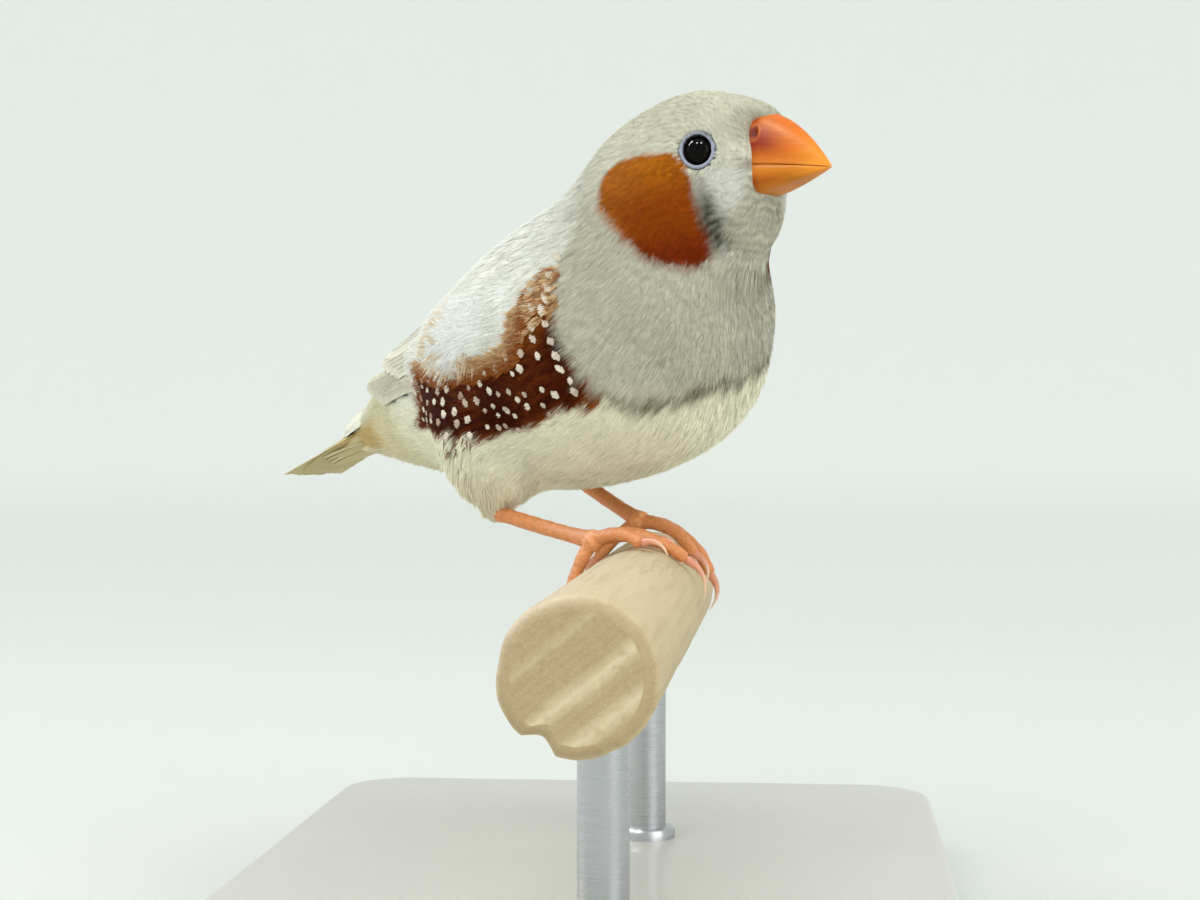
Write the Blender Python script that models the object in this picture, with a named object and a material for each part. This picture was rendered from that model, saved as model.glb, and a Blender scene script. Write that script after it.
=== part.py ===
"""Zebra finch, pale colour form, cock bird: a still, life-size display model.

The bird crouches on a short cut length of dowel, and a flat base with two rods
holds the dowel. Sizes are millimetres and become metres as each mesh is made.

The bird has a frame of its own: u forward, v to its left, w up, with its origin
on top of the perch, midway between the feet. posed() turns and moves that frame.
The stand's underside is at world z = 0, and the perch lies along world Y.
"""

import math

import bmesh
import bpy
import numpy as np
from mathutils import Matrix, Vector

MM = 0.001
GAP = 0.3                                   # space kept between neighbouring nodes

# ---------------------------------------------------------------- stand and perch
BASE_SIZE = (78.0, 118.0, 8.0)
BASE_CORNER_RADIUS = 9.0
BASE_EDGE_BEVEL = 1.2
ROD_RADIUS = 2.5
ROD_LENGTH = 20.0
ROD_SPACING = 52.0                          # between the two rods, along the perch
PERCH_RADIUS = 7.0
PERCH_LENGTH = 100.0
PERCH_X = 4.0
PERCH_MIDDLE_Y = -7.0
PERCH_BEVEL = 1.3
PERCH_SIDES = 40
GROOVE_ANGLE = 240.0                        # the dowel's lengthwise groove
GROOVE_HALF_ANGLE = 14.0
GROOVE_DEPTH = 1.1
PERCH_Z = BASE_SIZE[2] + GAP + ROD_LENGTH + GAP + PERCH_RADIUS

# ---------------------------------------------------------------- where the bird is
RIGHT_FOOT_Y = 6.0
FEET_MIDDLE_Y = RIGHT_FOOT_Y + 9.0
BODY_YAW = -42.55                           # the bird's forward direction, from world X
HEAD_TURN = 13.0                            # the head is turned to the bird's left
HEAD_PIVOT_U = 6.0
TURN_START = 4.3                            # stations between which the neck takes the turn
TURN_END = 6.6

# ---------------------------------------------------------------- body sections
# u, w: centre of a section; half width; height above; depth below; lean of its axis
STATIONS = np.array((
    (-50.5, 13.8, 3.8, 2.1, 4.2, 23.0),     # 0 end of the rump, where the tail begins
    (-42.0, 16.6, 7.1, 4.6, 9.0, 24.0),     # 1 rump and vent
    (-31.0, 19.0, 12.0, 8.5, 13.1, 22.0),   # 2 lower back and flanks
    (-16.5, 21.5, 16.4, 13.6, 16.7, 24.0),  # 3 back and belly
    (-3.2, 25.6, 18.2, 16.0, 17.8, 36.0),   # 4 shoulders and breast
    (4.2, 32.4, 14.3, 13.9, 15.0, 45.0),    # 5 base of the neck
    (7.4, 38.8, 11.6, 11.8, 11.8, 41.0),    # 6 nape and throat
    (11.7, 43.2, 9.2, 8.7, 12.0, 20.0),     # 7 crown and cheeks
    (15.7, 43.4, 7.8, 7.0, 9.9, 6.0),       # 8 forehead and chin
    (17.4, 43.6, 4.3, 4.9, 6.3, 3.0),       # 9 feather edge round the bill
))
BODY_SIDES = 36
RUMP_END = 1.55                             # stations at which the body is parted
NECK_START = 5.0
HEAD_START = 6.25
FACE_HOLLOW = 0.9                           # how far the face sinks around each eye
FACE_HOLLOW_RADIUS = 4.5

# ---------------------------------------------------------------- eyes and lids
EYE_PLACE = (13.4, 7.7, 43.8)               # middle of the lid's opening
EYE_FORWARD = 14.0                          # degrees the eye looks ahead of sideways
EYE_RADIUS = 1.9
EYE_SINK = 1.47                             # from the lid's plane to the eyeball's centre
LID_RADIUS = 1.78
LID_THICKNESS = 0.32
LID_STEPS = 18

# ---------------------------------------------------------------- bill
BILL_BASE_U = 17.4 + GAP
BILL_TIP = (25.9, 41.9)
BILL_BASE_HALF_WIDTH = 3.35
CULMEN_BASE_W = 48.4
GAPE_BASE_W = 42.4
CHIN_BASE_W = 39.0
UPPER_ROUNDING = (0.75, 1.1)                # powers that shape a mandible's section
LOWER_ROUNDING = (0.42, 0.62)
BILL_SIDES = 9                              # points over each half of the bill
NOSTRIL_PLACE = (18.5, 2.7, 46.1)
NOSTRIL_RADII = (0.55, 0.7, 0.75)

# ---------------------------------------------------------------- wings
WING_FRONT = 4.35                           # stations from the bend of the wing to its tip
WING_BACK = 0.62
WING_LOW = 24.0                             # degrees above the side, at the bend
WING_RISE = 34.0                            # and how much higher at the tip
WING_TOP_LIMIT = 84.0                       # neither wing passes this, so they never meet
BED_DEPTH = 2.6                             # recess in the body that the wing lies in
BED_END_DEPTH = 0.1                         # the recess is shallower under the wing's tip
BED_FADE = (0.55, 0.95)                     # shares of the wing's length where it changes
VANE_THICKNESS = 0.55
SHAFT_RISE = 0.12                           # how far a feather's shaft stands above its edges

# ---------------------------------------------------------------- tail
TAIL_LENGTH = 20.5
TAIL_LEAN = 19.5                            # degrees that the tail slopes down behind
TAIL_PAIRS = 6
TAIL_TOP = 0.5                              # height of the uppermost feather over the tail's line
TAIL_STEP = 0.34                            # between one pair and the pair under it
TAIL_SPREAD = 0.75                          # degrees between neighbouring tail feathers
QUILL_START = 1.6
QUILL_SHORTENING = 0.45                     # from one pair to the pair under it
QUILL_HALF_WIDTH = 1.5
COVERT_COUNT = 5
COVERT_START = 0.9
COVERT_SPACING = 1.3
COVERT_HALF_WIDTH = 1.25
# Coverts: height of the middle one, how far back it ends, and how much its tip lies above its root
TAIL_COVERTS = (("upper_covert", 1.7, 5.0, -0.6), ("under_covert", -2.8, 12.0, 0.7))

# ---------------------------------------------------------------- legs and feet
TARSUS_RADIUS = 1.0
HUB_RADIUS = 1.35
TOE_RADIUS = 0.85
CLAW_RADIUS = 0.55
TARSUS_SCUTES = 7
TOE_SCUTES = (4, 6, 4, 3)                   # inner, middle, outer and hind toe


def clear_scene():
    """Remove every object, so that the script can run twice."""
    for thing in list(bpy.data.objects):
        bpy.data.objects.remove(thing, do_unlink=True)


# ================================================================ materials
MATERIALS = {
    "plumage_head": ((0.72, 0.70, 0.64, 1.0), 0.9, 0.0),
    "plumage_body": ((0.78, 0.76, 0.71, 1.0), 0.9, 0.0),
    "plumage_wing": ((0.80, 0.77, 0.70, 1.0), 0.85, 0.0),
    "plumage_tail": ((0.82, 0.78, 0.66, 1.0), 0.85, 0.0),
    "eye": ((0.01, 0.01, 0.012, 1.0), 0.05, 0.0),
    "bill": ((0.85, 0.24, 0.05, 1.0), 0.3, 0.0),
    "leg": ((0.78, 0.35, 0.20, 1.0), 0.5, 0.0),
    "claw": ((0.80, 0.55, 0.42, 1.0), 0.4, 0.0),
    "perch": ((0.74, 0.62, 0.44, 1.0), 0.7, 0.0),
    "stand_base": ((0.80, 0.79, 0.76, 1.0), 0.5, 0.0),
    "stand_rod": ((0.62, 0.62, 0.63, 1.0), 0.3, 1.0),
}


def new_material(node_name, look):
    """A Principled material of the node's own, from one of the named looks."""
    colour, roughness, metallic = MATERIALS[look]
    material = bpy.data.materials.new(node_name)
    material.use_nodes = True
    shader = material.node_tree.nodes["Principled BSDF"]
    shader.inputs["Base Color"].default_value = colour
    shader.inputs["Roughness"].default_value = roughness
    shader.inputs["Metallic"].default_value = metallic
    return material


# ================================================================ body surface
def station_values(t):
    """The six section values at t, on a smooth curve through STATIONS."""
    t = np.asarray(t, dtype=float)
    last = len(STATIONS) - 1
    i = np.clip(np.floor(t).astype(int), 0, last - 1)
    x = (t - i)[..., None]
    here = STATIONS[i]
    after = STATIONS[i + 1]
    before = np.where((i > 0)[..., None], STATIONS[np.maximum(i - 1, 0)], 2 * here - after)
    beyond = np.where((i + 2 <= last)[..., None], STATIONS[np.minimum(i + 2, last)], 2 * after - here)
    slope = after - before
    bend = 2 * before - 5 * here + 4 * after - beyond
    cubic = -before + 3 * here - 3 * after + beyond
    return 0.5 * (2 * here + slope * x + bend * x ** 2 + cubic * x ** 3)


def head_turned(points, t):
    """Turn points to the bird's left by as much of HEAD_TURN as station t takes."""
    k = np.clip((np.asarray(t, dtype=float) - TURN_START) / (TURN_END - TURN_START), 0.0, 1.0)
    angle = math.radians(HEAD_TURN) * k * k * (3.0 - 2.0 * k)
    ahead = points[..., 0] - HEAD_PIVOT_U
    side = points[..., 1]
    turned = np.array(points, dtype=float)
    turned[..., 0] = HEAD_PIVOT_U + ahead * np.cos(angle) - side * np.sin(angle)
    turned[..., 1] = ahead * np.sin(angle) + side * np.cos(angle)
    return turned


def coat(t, phi, lift=0.0, along=0.0):
    """Points of the outer plumage. phi is 0 on the left, 90 degrees on the back.

    lift moves a point out from the surface, along moves it with the section's axis.
    """
    t, phi, lift, along = np.broadcast_arrays(*(np.asarray(x, dtype=float) for x in (t, phi, lift, along)))
    value = station_values(t)
    lean = np.radians(value[..., 5])
    height = np.where(np.sin(phi) > 0.0, value[..., 3], value[..., 4])
    out_side = np.cos(phi) / value[..., 2]
    out_up = np.sin(phi) / height
    size = np.hypot(out_side, out_up)
    side = value[..., 2] * np.cos(phi) + lift * out_side / size
    up = height * np.sin(phi) + lift * out_up / size
    points = np.stack((
        value[..., 0] - np.sin(lean) * up + np.cos(lean) * along,
        side,
        value[..., 1] + np.cos(lean) * up + np.sin(lean) * along,
    ), axis=-1)
    for side_sign in (-1.0, 1.0):
        eye = np.array(EYE_PLACE) * (1.0, side_sign, 1.0)
        near = np.exp(-np.sum((points - eye) ** 2, axis=-1) / FACE_HOLLOW_RADIUS ** 2)
        points[..., 1] -= side_sign * FACE_HOLLOW * near
    return head_turned(points, t)


def posed(points):
    """Bird frame, in millimetres, to the world, in millimetres."""
    yaw = math.radians(BODY_YAW)
    points = np.asarray(points, dtype=float)
    world = np.empty_like(points)
    world[..., 0] = PERCH_X + points[..., 0] * math.cos(yaw) - points[..., 1] * math.sin(yaw)
    world[..., 1] = FEET_MIDDLE_Y + points[..., 0] * math.sin(yaw) + points[..., 1] * math.cos(yaw)
    world[..., 2] = PERCH_Z + PERCH_RADIUS + points[..., 2]
    return world


def on_head(points):
    """A point given on the unturned head, turned with it."""
    return head_turned(np.asarray(points, dtype=float), TURN_END)


def mirrored(points, side):
    """side is 1 for the left, -1 for the right; points are given for the left."""
    return np.asarray(points, dtype=float) * (1.0, side, 1.0)


# ================================================================ meshes
def mesh_object(name, points, faces):
    """A Blender object from world points in millimetres, its faces turned outward."""
    mesh = bpy.data.meshes.new(name)
    mesh.from_pydata([tuple(p) for p in np.asarray(points) * MM], [], faces)
    shape = bmesh.new()
    shape.from_mesh(mesh)
    bmesh.ops.recalc_face_normals(shape, faces=shape.faces)
    shape.to_mesh(mesh)
    shape.free()
    thing = bpy.data.objects.new(name, mesh)
    bpy.context.scene.collection.objects.link(thing)
    return thing


def loft(name, rings):
    """A closed tube through rings of equal length, with flat ends."""
    rings = np.asarray(rings)
    count, sides = rings.shape[:2]
    faces = []
    for r in range(count - 1):
        for s in range(sides):
            a = r * sides + s
            b = r * sides + (s + 1) % sides
            faces.append((a, b, b + sides, a + sides))
    faces.append(tuple(range(sides))[::-1])
    faces.append(tuple((count - 1) * sides + s for s in range(sides)))
    return mesh_object(name, rings.reshape(-1, 3), faces)


def tube_rings(path, radii, sides, flat=1.0, up=(0.0, 0.0, 1.0)):
    """Rings round a path; flat narrows them along the direction nearest to up."""
    path = np.asarray(path, dtype=float)
    direction = np.gradient(path, axis=0)
    direction /= np.linalg.norm(direction, axis=1)[:, None]
    across = np.cross(np.asarray(up, dtype=float), direction)
    across /= np.linalg.norm(across, axis=1)[:, None]
    over = np.cross(direction, across)
    angle = np.linspace(0.0, 2.0 * math.pi, sides, endpoint=False)
    radii = np.asarray(radii, dtype=float)[:, None, None]
    wheel = across[:, None] * np.cos(angle)[:, None] + flat * over[:, None] * np.sin(angle)[:, None]
    return path[:, None] + radii * wheel


def ball(name, centre, radii, segments=16, rings=10, turn=None):
    """A closed ellipsoid, its poles along its own third axis."""
    shape = bmesh.new()
    bmesh.ops.create_uvsphere(shape, u_segments=segments, v_segments=rings, radius=1.0)
    scale = Matrix.Diagonal(Vector([r * MM for r in radii])).to_4x4()
    place = Matrix.Translation(Vector(centre) * MM)
    bmesh.ops.transform(shape, matrix=place @ (turn or Matrix()) @ scale, verts=shape.verts)
    mesh = bpy.data.meshes.new(name)
    shape.to_mesh(mesh)
    shape.free()
    thing = bpy.data.objects.new(name, mesh)
    bpy.context.scene.collection.objects.link(thing)
    return thing


def apply_boolean(target, pieces, operation, solver="EXACT"):
    """Join or cut target with closed pieces, apply it, and remove the pieces."""
    group = bpy.data.collections.new("pieces")
    bpy.context.scene.collection.children.link(group)
    for piece in pieces:
        group.objects.link(piece)
        piece.hide_render = True
        piece.display_type = "WIRE"
    modifier = target.modifiers.new("boolean", "BOOLEAN")
    modifier.operation = operation
    modifier.operand_type = "COLLECTION"
    modifier.collection = group
    modifier.solver = solver
    graph = bpy.context.evaluated_depsgraph_get()
    result = bpy.data.meshes.new_from_object(target.evaluated_get(graph))
    target.modifiers.remove(modifier)
    target.data = result
    for piece in list(pieces):
        bpy.data.objects.remove(piece, do_unlink=True)
    bpy.data.collections.remove(group)


def keep_largest(target):
    """Leave only the closed surface that holds the most space."""
    shape = bmesh.new()
    shape.from_mesh(target.data)
    left = set(shape.verts)
    groups = []
    while left:
        stack = [left.pop()]
        group = set(stack)
        while stack:
            for edge in stack.pop().link_edges:
                for vert in edge.verts:
                    if vert in left:
                        left.remove(vert)
                        group.add(vert)
                        stack.append(vert)
        groups.append(group)

    def spread(group):
        """Diagonal of the box round a group of vertices."""
        corners = np.array([v.co for v in group])
        return np.linalg.norm(corners.max(axis=0) - corners.min(axis=0))

    largest = max(groups, key=spread)
    bmesh.ops.delete(shape, geom=[v for v in shape.verts if v not in largest], context="VERTS")
    shape.to_mesh(target.data)
    shape.free()


def finish(thing, look, sharp=40.0):
    """Shade a node, round except at sharp edges, and give it its material."""
    thing.data.shade_smooth()
    thing.data.set_sharp_from_angle(angle=math.radians(sharp))
    thing.data.materials.clear()
    thing.data.materials.append(new_material(thing.name, look))
    return thing


def fused(name, pieces, look, solver="EXACT"):
    """One closed node from overlapping closed pieces."""
    target = pieces[0]
    target.name = name
    if len(pieces) > 1:
        apply_boolean(target, pieces[1:], "UNION", solver)
    keep_largest(target)
    return finish(target, look)


# ================================================================ feathers
# Share of the length and of the half width, at each row of a long and of a short feather
LONG_VANE = ((0.0, 0.62), (0.3, 1.0), (0.6, 1.0), (0.85, 0.82), (1.0, 0.28))
SHORT_VANE = ((0.0, 0.7), (0.7, 1.0), (1.0, 0.45))
TAIL_VANE = ((0.0, 0.6), (0.55, 0.95), (0.88, 0.85), (1.0, 0.28))


def vane(name, place, root, tip, half_width, form=LONG_VANE, tilt=0.25, thickness=VANE_THICKNESS):
    """One flat, tapered feather, three points across, alike on both faces.

    place maps (along, across, height) to the world. root and tip are such triples.
    tilt lowers its upper edge, which the next feather covers; the shaft stands up a little.
    """
    points = []
    for part, width in form:
        along, across, height = (r + (t - r) * part for r, t in zip(root, tip))
        reach = half_width * width
        for column in (-1.0, 0.0, 1.0):
            middle = height - tilt * column * reach + SHAFT_RISE * (1.0 - abs(column))
            half = 0.5 * thickness * (1.0 if column == 0.0 else 0.85)
            points.append(place(along, across + column * reach, middle + half))
            points.append(place(along, across + column * reach, middle - half))
    faces = []
    rows = len(form)
    for r in range(rows - 1):
        for c in range(2):
            a = (r * 3 + c) * 2
            b, up_a, up_b = a + 2, a + 6, a + 8
            faces += [(a, b, up_b), (a, up_b, up_a)]
            faces += [(a + 1, up_b + 1, b + 1), (a + 1, up_a + 1, up_b + 1)]
        for a in (r * 6, r * 6 + 4):
            faces += [(a, a + 1, a + 7), (a, a + 7, a + 6)]
    for a in (0, (rows - 1) * 6):
        for c in (a, a + 2):
            faces += [(c, c + 1, c + 3), (c, c + 3, c + 2)]
    return mesh_object(name, points, faces)


def wing_place(side):
    """Map (share of the wing's length, millimetres up across it, height) to the world."""
    def place(along, across, height):
        t = WING_FRONT + (WING_BACK - WING_FRONT) * along
        value = station_values(t)
        radius = 0.5 * (value[..., 2] + value[..., 3])
        axis = math.radians(WING_LOW + WING_RISE * max(along, 0.0) ** 3)
        room = math.radians(WING_TOP_LIMIT) - axis
        turn = across / radius
        if turn > 0.0:
            turn = room * math.tanh(turn / room)
        fade = min(max((along - BED_FADE[0]) / (BED_FADE[1] - BED_FADE[0]), 0.0), 1.0)
        depth = BED_DEPTH + (BED_END_DEPTH - BED_DEPTH) * fade * fade * (3.0 - 2.0 * fade)
        return posed(mirrored(coat(t, axis + turn, height - depth), side))
    return place


def patch(name, place, outline, low, high, rows, columns):
    """A closed plate over outline(part) -> (along, lower edge, upper edge)."""
    points = []
    for height in (low, high):
        for r in range(rows):
            along, lower, upper = outline(r / (rows - 1))
            for c in range(columns):
                part = c / (columns - 1)
                level = height(r / (rows - 1), part) if callable(height) else height
                points.append(place(along, lower + (upper - lower) * part, level))
    sheet = rows * columns
    faces = []
    for r in range(rows - 1):
        for c in range(columns - 1):
            a = r * columns + c
            b, d, e = a + 1, a + columns, a + columns + 1
            faces += [(a, b, e), (a, e, d)]
            faces += [(sheet + a, sheet + e, sheet + b), (sheet + a, sheet + d, sheet + e)]
    rim = list(range(columns))
    rim += [r * columns + columns - 1 for r in range(1, rows)]
    rim += [(rows - 1) * columns + c for c in range(columns - 2, -1, -1)]
    rim += [r * columns for r in range(rows - 2, 0, -1)]
    for a, b in zip(rim, rim[1:] + rim[:1]):
        faces += [(a, b, sheet + b), (a, sheet + b, sheet + a)]
    return mesh_object(name, points, faces)


# The wing's outline: half its breadth at shares of its length, wide at the bend
WING_LENGTH_MARKS = (0.0, 0.06, 0.18, 0.4, 0.65, 0.85, 0.97, 1.02)
WING_HALF_BREADTH = (3.4, 6.0, 7.8, 8.0, 7.1, 5.2, 3.6, 2.9)


def wing_outline(margin, start, end):
    """Edges of the wing between two shares of its length, widened by margin."""
    def outline(part):
        along = start + (end - start) * part
        half = float(np.interp(along, WING_LENGTH_MARKS, WING_HALF_BREADTH)) + margin
        return along, -half, half
    return outline


def wing_bed(side):
    """What is cut from the body so that the folded wing lies in it."""
    return patch("bed", wing_place(side), wing_outline(0.7, -0.03, 1.045), 0.0, 6.0, 13, 6)


# Each tier: its feathers' count, first root and the step to the next, first tip and its step, half width.
# Places are a share of the wing's length, millimetres up across it, and a height.
WING_TIERS = (
    ("primary", 6, (0.30, -5.6, 1.0), (0.015, 0.5, 0.0), (0.83, -4.6, 1.05), (0.025, 0.5, 0.0), 1.75),
    ("secondary", 5, (0.24, -3.4, 1.25), (0.012, 1.3, 0.0), (0.66, -3.6, 1.45), (0.048, 0.85, 0.0), 2.0),
    ("tertial", 3, (0.22, 2.2, 1.5), (0.0, 1.7, 0.0), (0.80, 1.4, 1.75), (-0.06, 1.3, 0.0), 2.1),
    ("greater_covert", 7, (0.14, -5.4, 1.8), (0.0, 1.8, 0.0), (0.40, -5.0, 1.95), (0.012, 1.75, 0.0), 1.55),
    ("median_covert", 6, (0.05, -4.4, 2.0), (0.0, 1.75, 0.0), (0.255, -4.6, 2.35), (0.0, 1.85, 0.0), 1.5),
)
ARM_END = 0.42                              # share of the wing's length that the arm reaches
ARM_HEIGHT = (2.3, 1.1)                     # at the bend, and how much less at its end


def wing(side, name):
    """Folded wing: the covered arm, then quills and coverts in overlapping tiers."""
    place = wing_place(side)

    def arm_top(part, across):
        """The arm is thickest at the bend and thins out backward."""
        return ARM_HEIGHT[0] - ARM_HEIGHT[1] * part ** 2

    pieces = [patch("arm", place, wing_outline(-0.4, 0.0, ARM_END), GAP, arm_top, 7, 5)]
    for tier, count, root, root_step, tip, tip_step, half_width in WING_TIERS:
        form = SHORT_VANE if "covert" in tier else LONG_VANE
        for i in range(count):
            from_place = [a + i * b for a, b in zip(root, root_step)]
            to_place = [a + i * b for a, b in zip(tip, tip_step)]
            pieces.append(vane(tier, place, from_place, to_place, half_width, form))
    return fused(name, pieces, "plumage_wing")


def tail_place():
    """Map (millimetres behind the rump, to the left, upward) to the world."""
    value = STATIONS[0]
    lean = math.radians(TAIL_LEAN)

    def place(along, across, height):
        along, across, height = np.broadcast_arrays(along, across, height)
        return posed(np.stack((
            value[0] - np.cos(lean) * along - np.sin(lean) * height,
            across,
            value[1] - np.sin(lean) * along + np.cos(lean) * height,
        ), axis=-1))
    return place


def tail():
    """The tail: a root behind the rump, six pairs of quills, and coverts over them."""
    place = tail_place()
    value = STATIONS[0]
    rings = []
    angle = np.linspace(0.0, 2.0 * math.pi, 20, endpoint=False)
    for along, size in ((GAP, 0.93), (2.0, 0.86), (4.2, 0.62), (6.0, 0.30)):
        height = np.where(np.sin(angle) > 0.0, value[3], value[4]) * np.sin(angle) * size
        rings.append(place(along, value[2] * np.cos(angle) * size, height - 0.06 * along))
    pieces = [loft("root", rings)]
    for pair in range(TAIL_PAIRS):
        for side in (1.0, -1.0):
            level = TAIL_TOP - TAIL_STEP * (pair + (0.5 if side < 0.0 else 0.0))
            spread = math.radians(TAIL_SPREAD * (pair + 0.4))
            reach = TAIL_LENGTH - QUILL_SHORTENING * pair
            root = (QUILL_START, side * (0.35 + 0.42 * pair), level)
            outer = side * (0.6 + 0.30 * pair + reach * math.sin(spread))
            tip = (reach * math.cos(spread), outer, level - 0.2)
            pieces.append(vane("quill", place, root, tip, QUILL_HALF_WIDTH, TAIL_VANE, tilt=0.06 * side))
    for name, lift_middle, end, drop in TAIL_COVERTS:
        outward = math.copysign(1.0, lift_middle)
        for i in range(COVERT_COUNT):
            from_middle = i - (COVERT_COUNT - 1) // 2
            lift = lift_middle + outward * (0.07 * from_middle - 0.2 * abs(from_middle))
            root = (COVERT_START, COVERT_SPACING * from_middle * 0.8, lift)
            tip = (end - 0.6 * abs(from_middle), COVERT_SPACING * from_middle * 1.05, lift + drop)
            pieces.append(vane(name, place, root, tip, COVERT_HALF_WIDTH, SHORT_VANE, tilt=0.05))
    return fused("tail", pieces, "plumage_tail")


# ================================================================ body
def body_rings(start, end, count, lift=0.0):
    """Sections of the body, kept half a gap clear of the planes that part it."""
    phi = np.linspace(0.0, 2.0 * math.pi, BODY_SIDES, endpoint=False)
    rings = []
    for i, t in enumerate(np.linspace(start, end, count)):
        along = 0.0
        if i == 0 and start > 0.0:
            along = 0.5 * GAP
        if i == count - 1 and end < len(STATIONS) - 1:
            along = -0.5 * GAP
        rings.append(posed(coat(t, phi, lift, along)))
    return rings


def rump():
    """Rump and vent, with the hind ends of both wing beds."""
    thing = loft("rump", body_rings(0.0, RUMP_END, 8))
    apply_boolean(thing, [wing_bed(1.0), wing_bed(-1.0)], "DIFFERENCE")
    keep_largest(thing)
    return finish(thing, "plumage_body")


def torso():
    """Breast, back and belly, with a bed for each folded wing."""
    thing = loft("torso", body_rings(RUMP_END, NECK_START, 16))
    apply_boolean(thing, [wing_bed(1.0), wing_bed(-1.0)], "DIFFERENCE")
    keep_largest(thing)
    return finish(thing, "plumage_body")


def neck():
    """Neck, hidden in the plumage between breast and head."""
    return finish(loft("neck", body_rings(NECK_START, HEAD_START, 6)), "plumage_head")


def eye_axis(side):
    """Unit vector along which an eye looks, on the unturned head."""
    ahead = math.radians(EYE_FORWARD)
    return np.array((math.sin(ahead), side * math.cos(ahead), 0.0))


def eye_centre(side):
    """Centre of an eyeball, in the world."""
    return posed(on_head(mirrored(EYE_PLACE, side) - EYE_SINK * eye_axis(side)))


def lid(side):
    """The swollen ring of bare lid round an eye."""
    axis = eye_axis(side)
    up = np.array((0.0, 0.0, 1.0))
    across = np.cross(up, axis)
    rings = []
    for turn in np.linspace(0.0, 2.0 * math.pi, LID_STEPS, endpoint=False):
        out = math.cos(turn) * across + math.sin(turn) * up
        wheel = np.linspace(0.0, 2.0 * math.pi, 6, endpoint=False)[:, None]
        ring = LID_RADIUS * out + LID_THICKNESS * (np.cos(wheel) * out + np.sin(wheel) * axis)
        rings.append(posed(on_head(mirrored(EYE_PLACE, side) + ring)))
    points = np.array(rings)
    count, sides = points.shape[:2]
    faces = []
    for r in range(count):
        for s in range(sides):
            a = r * sides + s
            b = r * sides + (s + 1) % sides
            after = ((r + 1) % count - r) * sides
            faces.append((a, b, b + after, a + after))
    return mesh_object("lid", points.reshape(-1, 3), faces)


def head():
    """Head with lids, its eye sockets cut clear of the eyeballs."""
    thing = loft("head", body_rings(HEAD_START, len(STATIONS) - 1, 13))
    apply_boolean(thing, [lid(1.0), lid(-1.0)], "UNION")
    reach = (EYE_RADIUS + GAP,) * 3
    sockets = [ball("socket", eye_centre(side), reach, 16, 10) for side in (1.0, -1.0)]
    apply_boolean(thing, sockets, "DIFFERENCE")
    keep_largest(thing)
    return finish(thing, "plumage_head")


def eye(side, name):
    """Eyeball, sunk in its socket."""
    return finish(ball(name, eye_centre(side), (EYE_RADIUS,) * 3, 14, 9), "eye")


# ================================================================ bill
def bill_shape(part):
    """u, half width, culmen, gape and chin heights at a share of the bill's length."""
    u = BILL_BASE_U + (BILL_TIP[0] - BILL_BASE_U) * part
    width = BILL_BASE_HALF_WIDTH * (1.0 - part ** 1.35) ** 0.9
    culmen = BILL_TIP[1] + (CULMEN_BASE_W - BILL_TIP[1]) * (1.0 - part ** 1.8)
    gape = GAPE_BASE_W + (BILL_TIP[1] - GAPE_BASE_W) * part ** 2
    chin = gape - (GAPE_BASE_W - CHIN_BASE_W) * (1.0 - part ** 1.25)
    return u, width, culmen, gape, chin


def bill_half(name, upper):
    """One mandible: rounded outside, flat along the gape."""
    rings = []
    last = 0.965 if upper else 0.90
    wall, roof = UPPER_ROUNDING if upper else LOWER_ROUNDING
    for part in np.linspace(0.0, last, 9):
        u, width, culmen, gape, chin = bill_shape(part)
        lean = math.radians(STATIONS[-1][5])
        edge = gape + 0.5 * GAP if upper else gape - 0.5 * GAP
        rise = (culmen if upper else chin) - edge
        ring = []
        for angle in np.linspace(0.0, math.pi, BILL_SIDES):
            side = width * math.copysign(abs(math.cos(angle)) ** wall, math.cos(angle))
            height = edge + rise * math.sin(angle) ** roof
            shift = -math.tan(lean) * (height - STATIONS[-1][1]) * (1.0 - part)
            ring.append((u + shift, side, height))
        rings.append(posed(on_head(ring)))
    return loft(name, rings)


def bill_upper():
    """Upper mandible with both nostrils."""
    thing = bill_half("bill_upper", True)
    holes = []
    for side in (1.0, -1.0):
        centre = posed(on_head(mirrored(NOSTRIL_PLACE, side)))
        holes.append(ball("nostril", centre, NOSTRIL_RADII, 10, 6))
    apply_boolean(thing, holes, "DIFFERENCE")
    keep_largest(thing)
    return finish(thing, "bill")


def bill_lower():
    """Lower mandible."""
    return finish(bill_half("bill_lower", False), "bill")


# ================================================================ legs
FEET = {
    # hub: angle round the perch, radius, y; heel: bird frame; toes: end angle, end y, arch
    "right": {
        "hub": (122.0, 9.3, RIGHT_FOOT_Y + 1.0),
        "heel": (-14.0, -10.0, 3.5),
        "toes": ((76.0, 6.0, 0.5), (46.0, 3.0, 0.0), (84.0, -2.8, 0.8), (166.0, 0.3, 0.0)),
        "claws": (54.0, 8.0, 60.0, 190.0),
    },
    "left": {
        "hub": (97.0, 9.3, RIGHT_FOOT_Y + 20.0),
        "heel": (-22.0, 8.4, 7.6),
        "toes": ((44.0, -3.2, 0.5), (20.0, 1.2, 0.2), (50.0, 5.0, 0.5), (144.0, 0.4, 0.0)),
        "claws": (16.0, -12.0, 22.0, 172.0),
    },
}
THIGHS = {
    # top and bottom of the feathered thigh, in the bird frame, and its radii
    "right": ((-16.3, -8.6, 14.0), (-15.8, -9.8, 3.0)),
    "left": ((-15.0, 9.0, 15.0), (-22.2, 8.6, 6.6)),
}
THIGH_RADII = (7.4, 7.0, 5.6, 3.8, 1.8)


def round_perch(angle, radius, y):
    """A point at an angle and a distance from the perch's axis."""
    angle = np.radians(angle)
    x = PERCH_X + radius * np.cos(angle)
    z = PERCH_Z + radius * np.sin(angle)
    return np.stack(np.broadcast_arrays(x, y, z), axis=-1)


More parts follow.
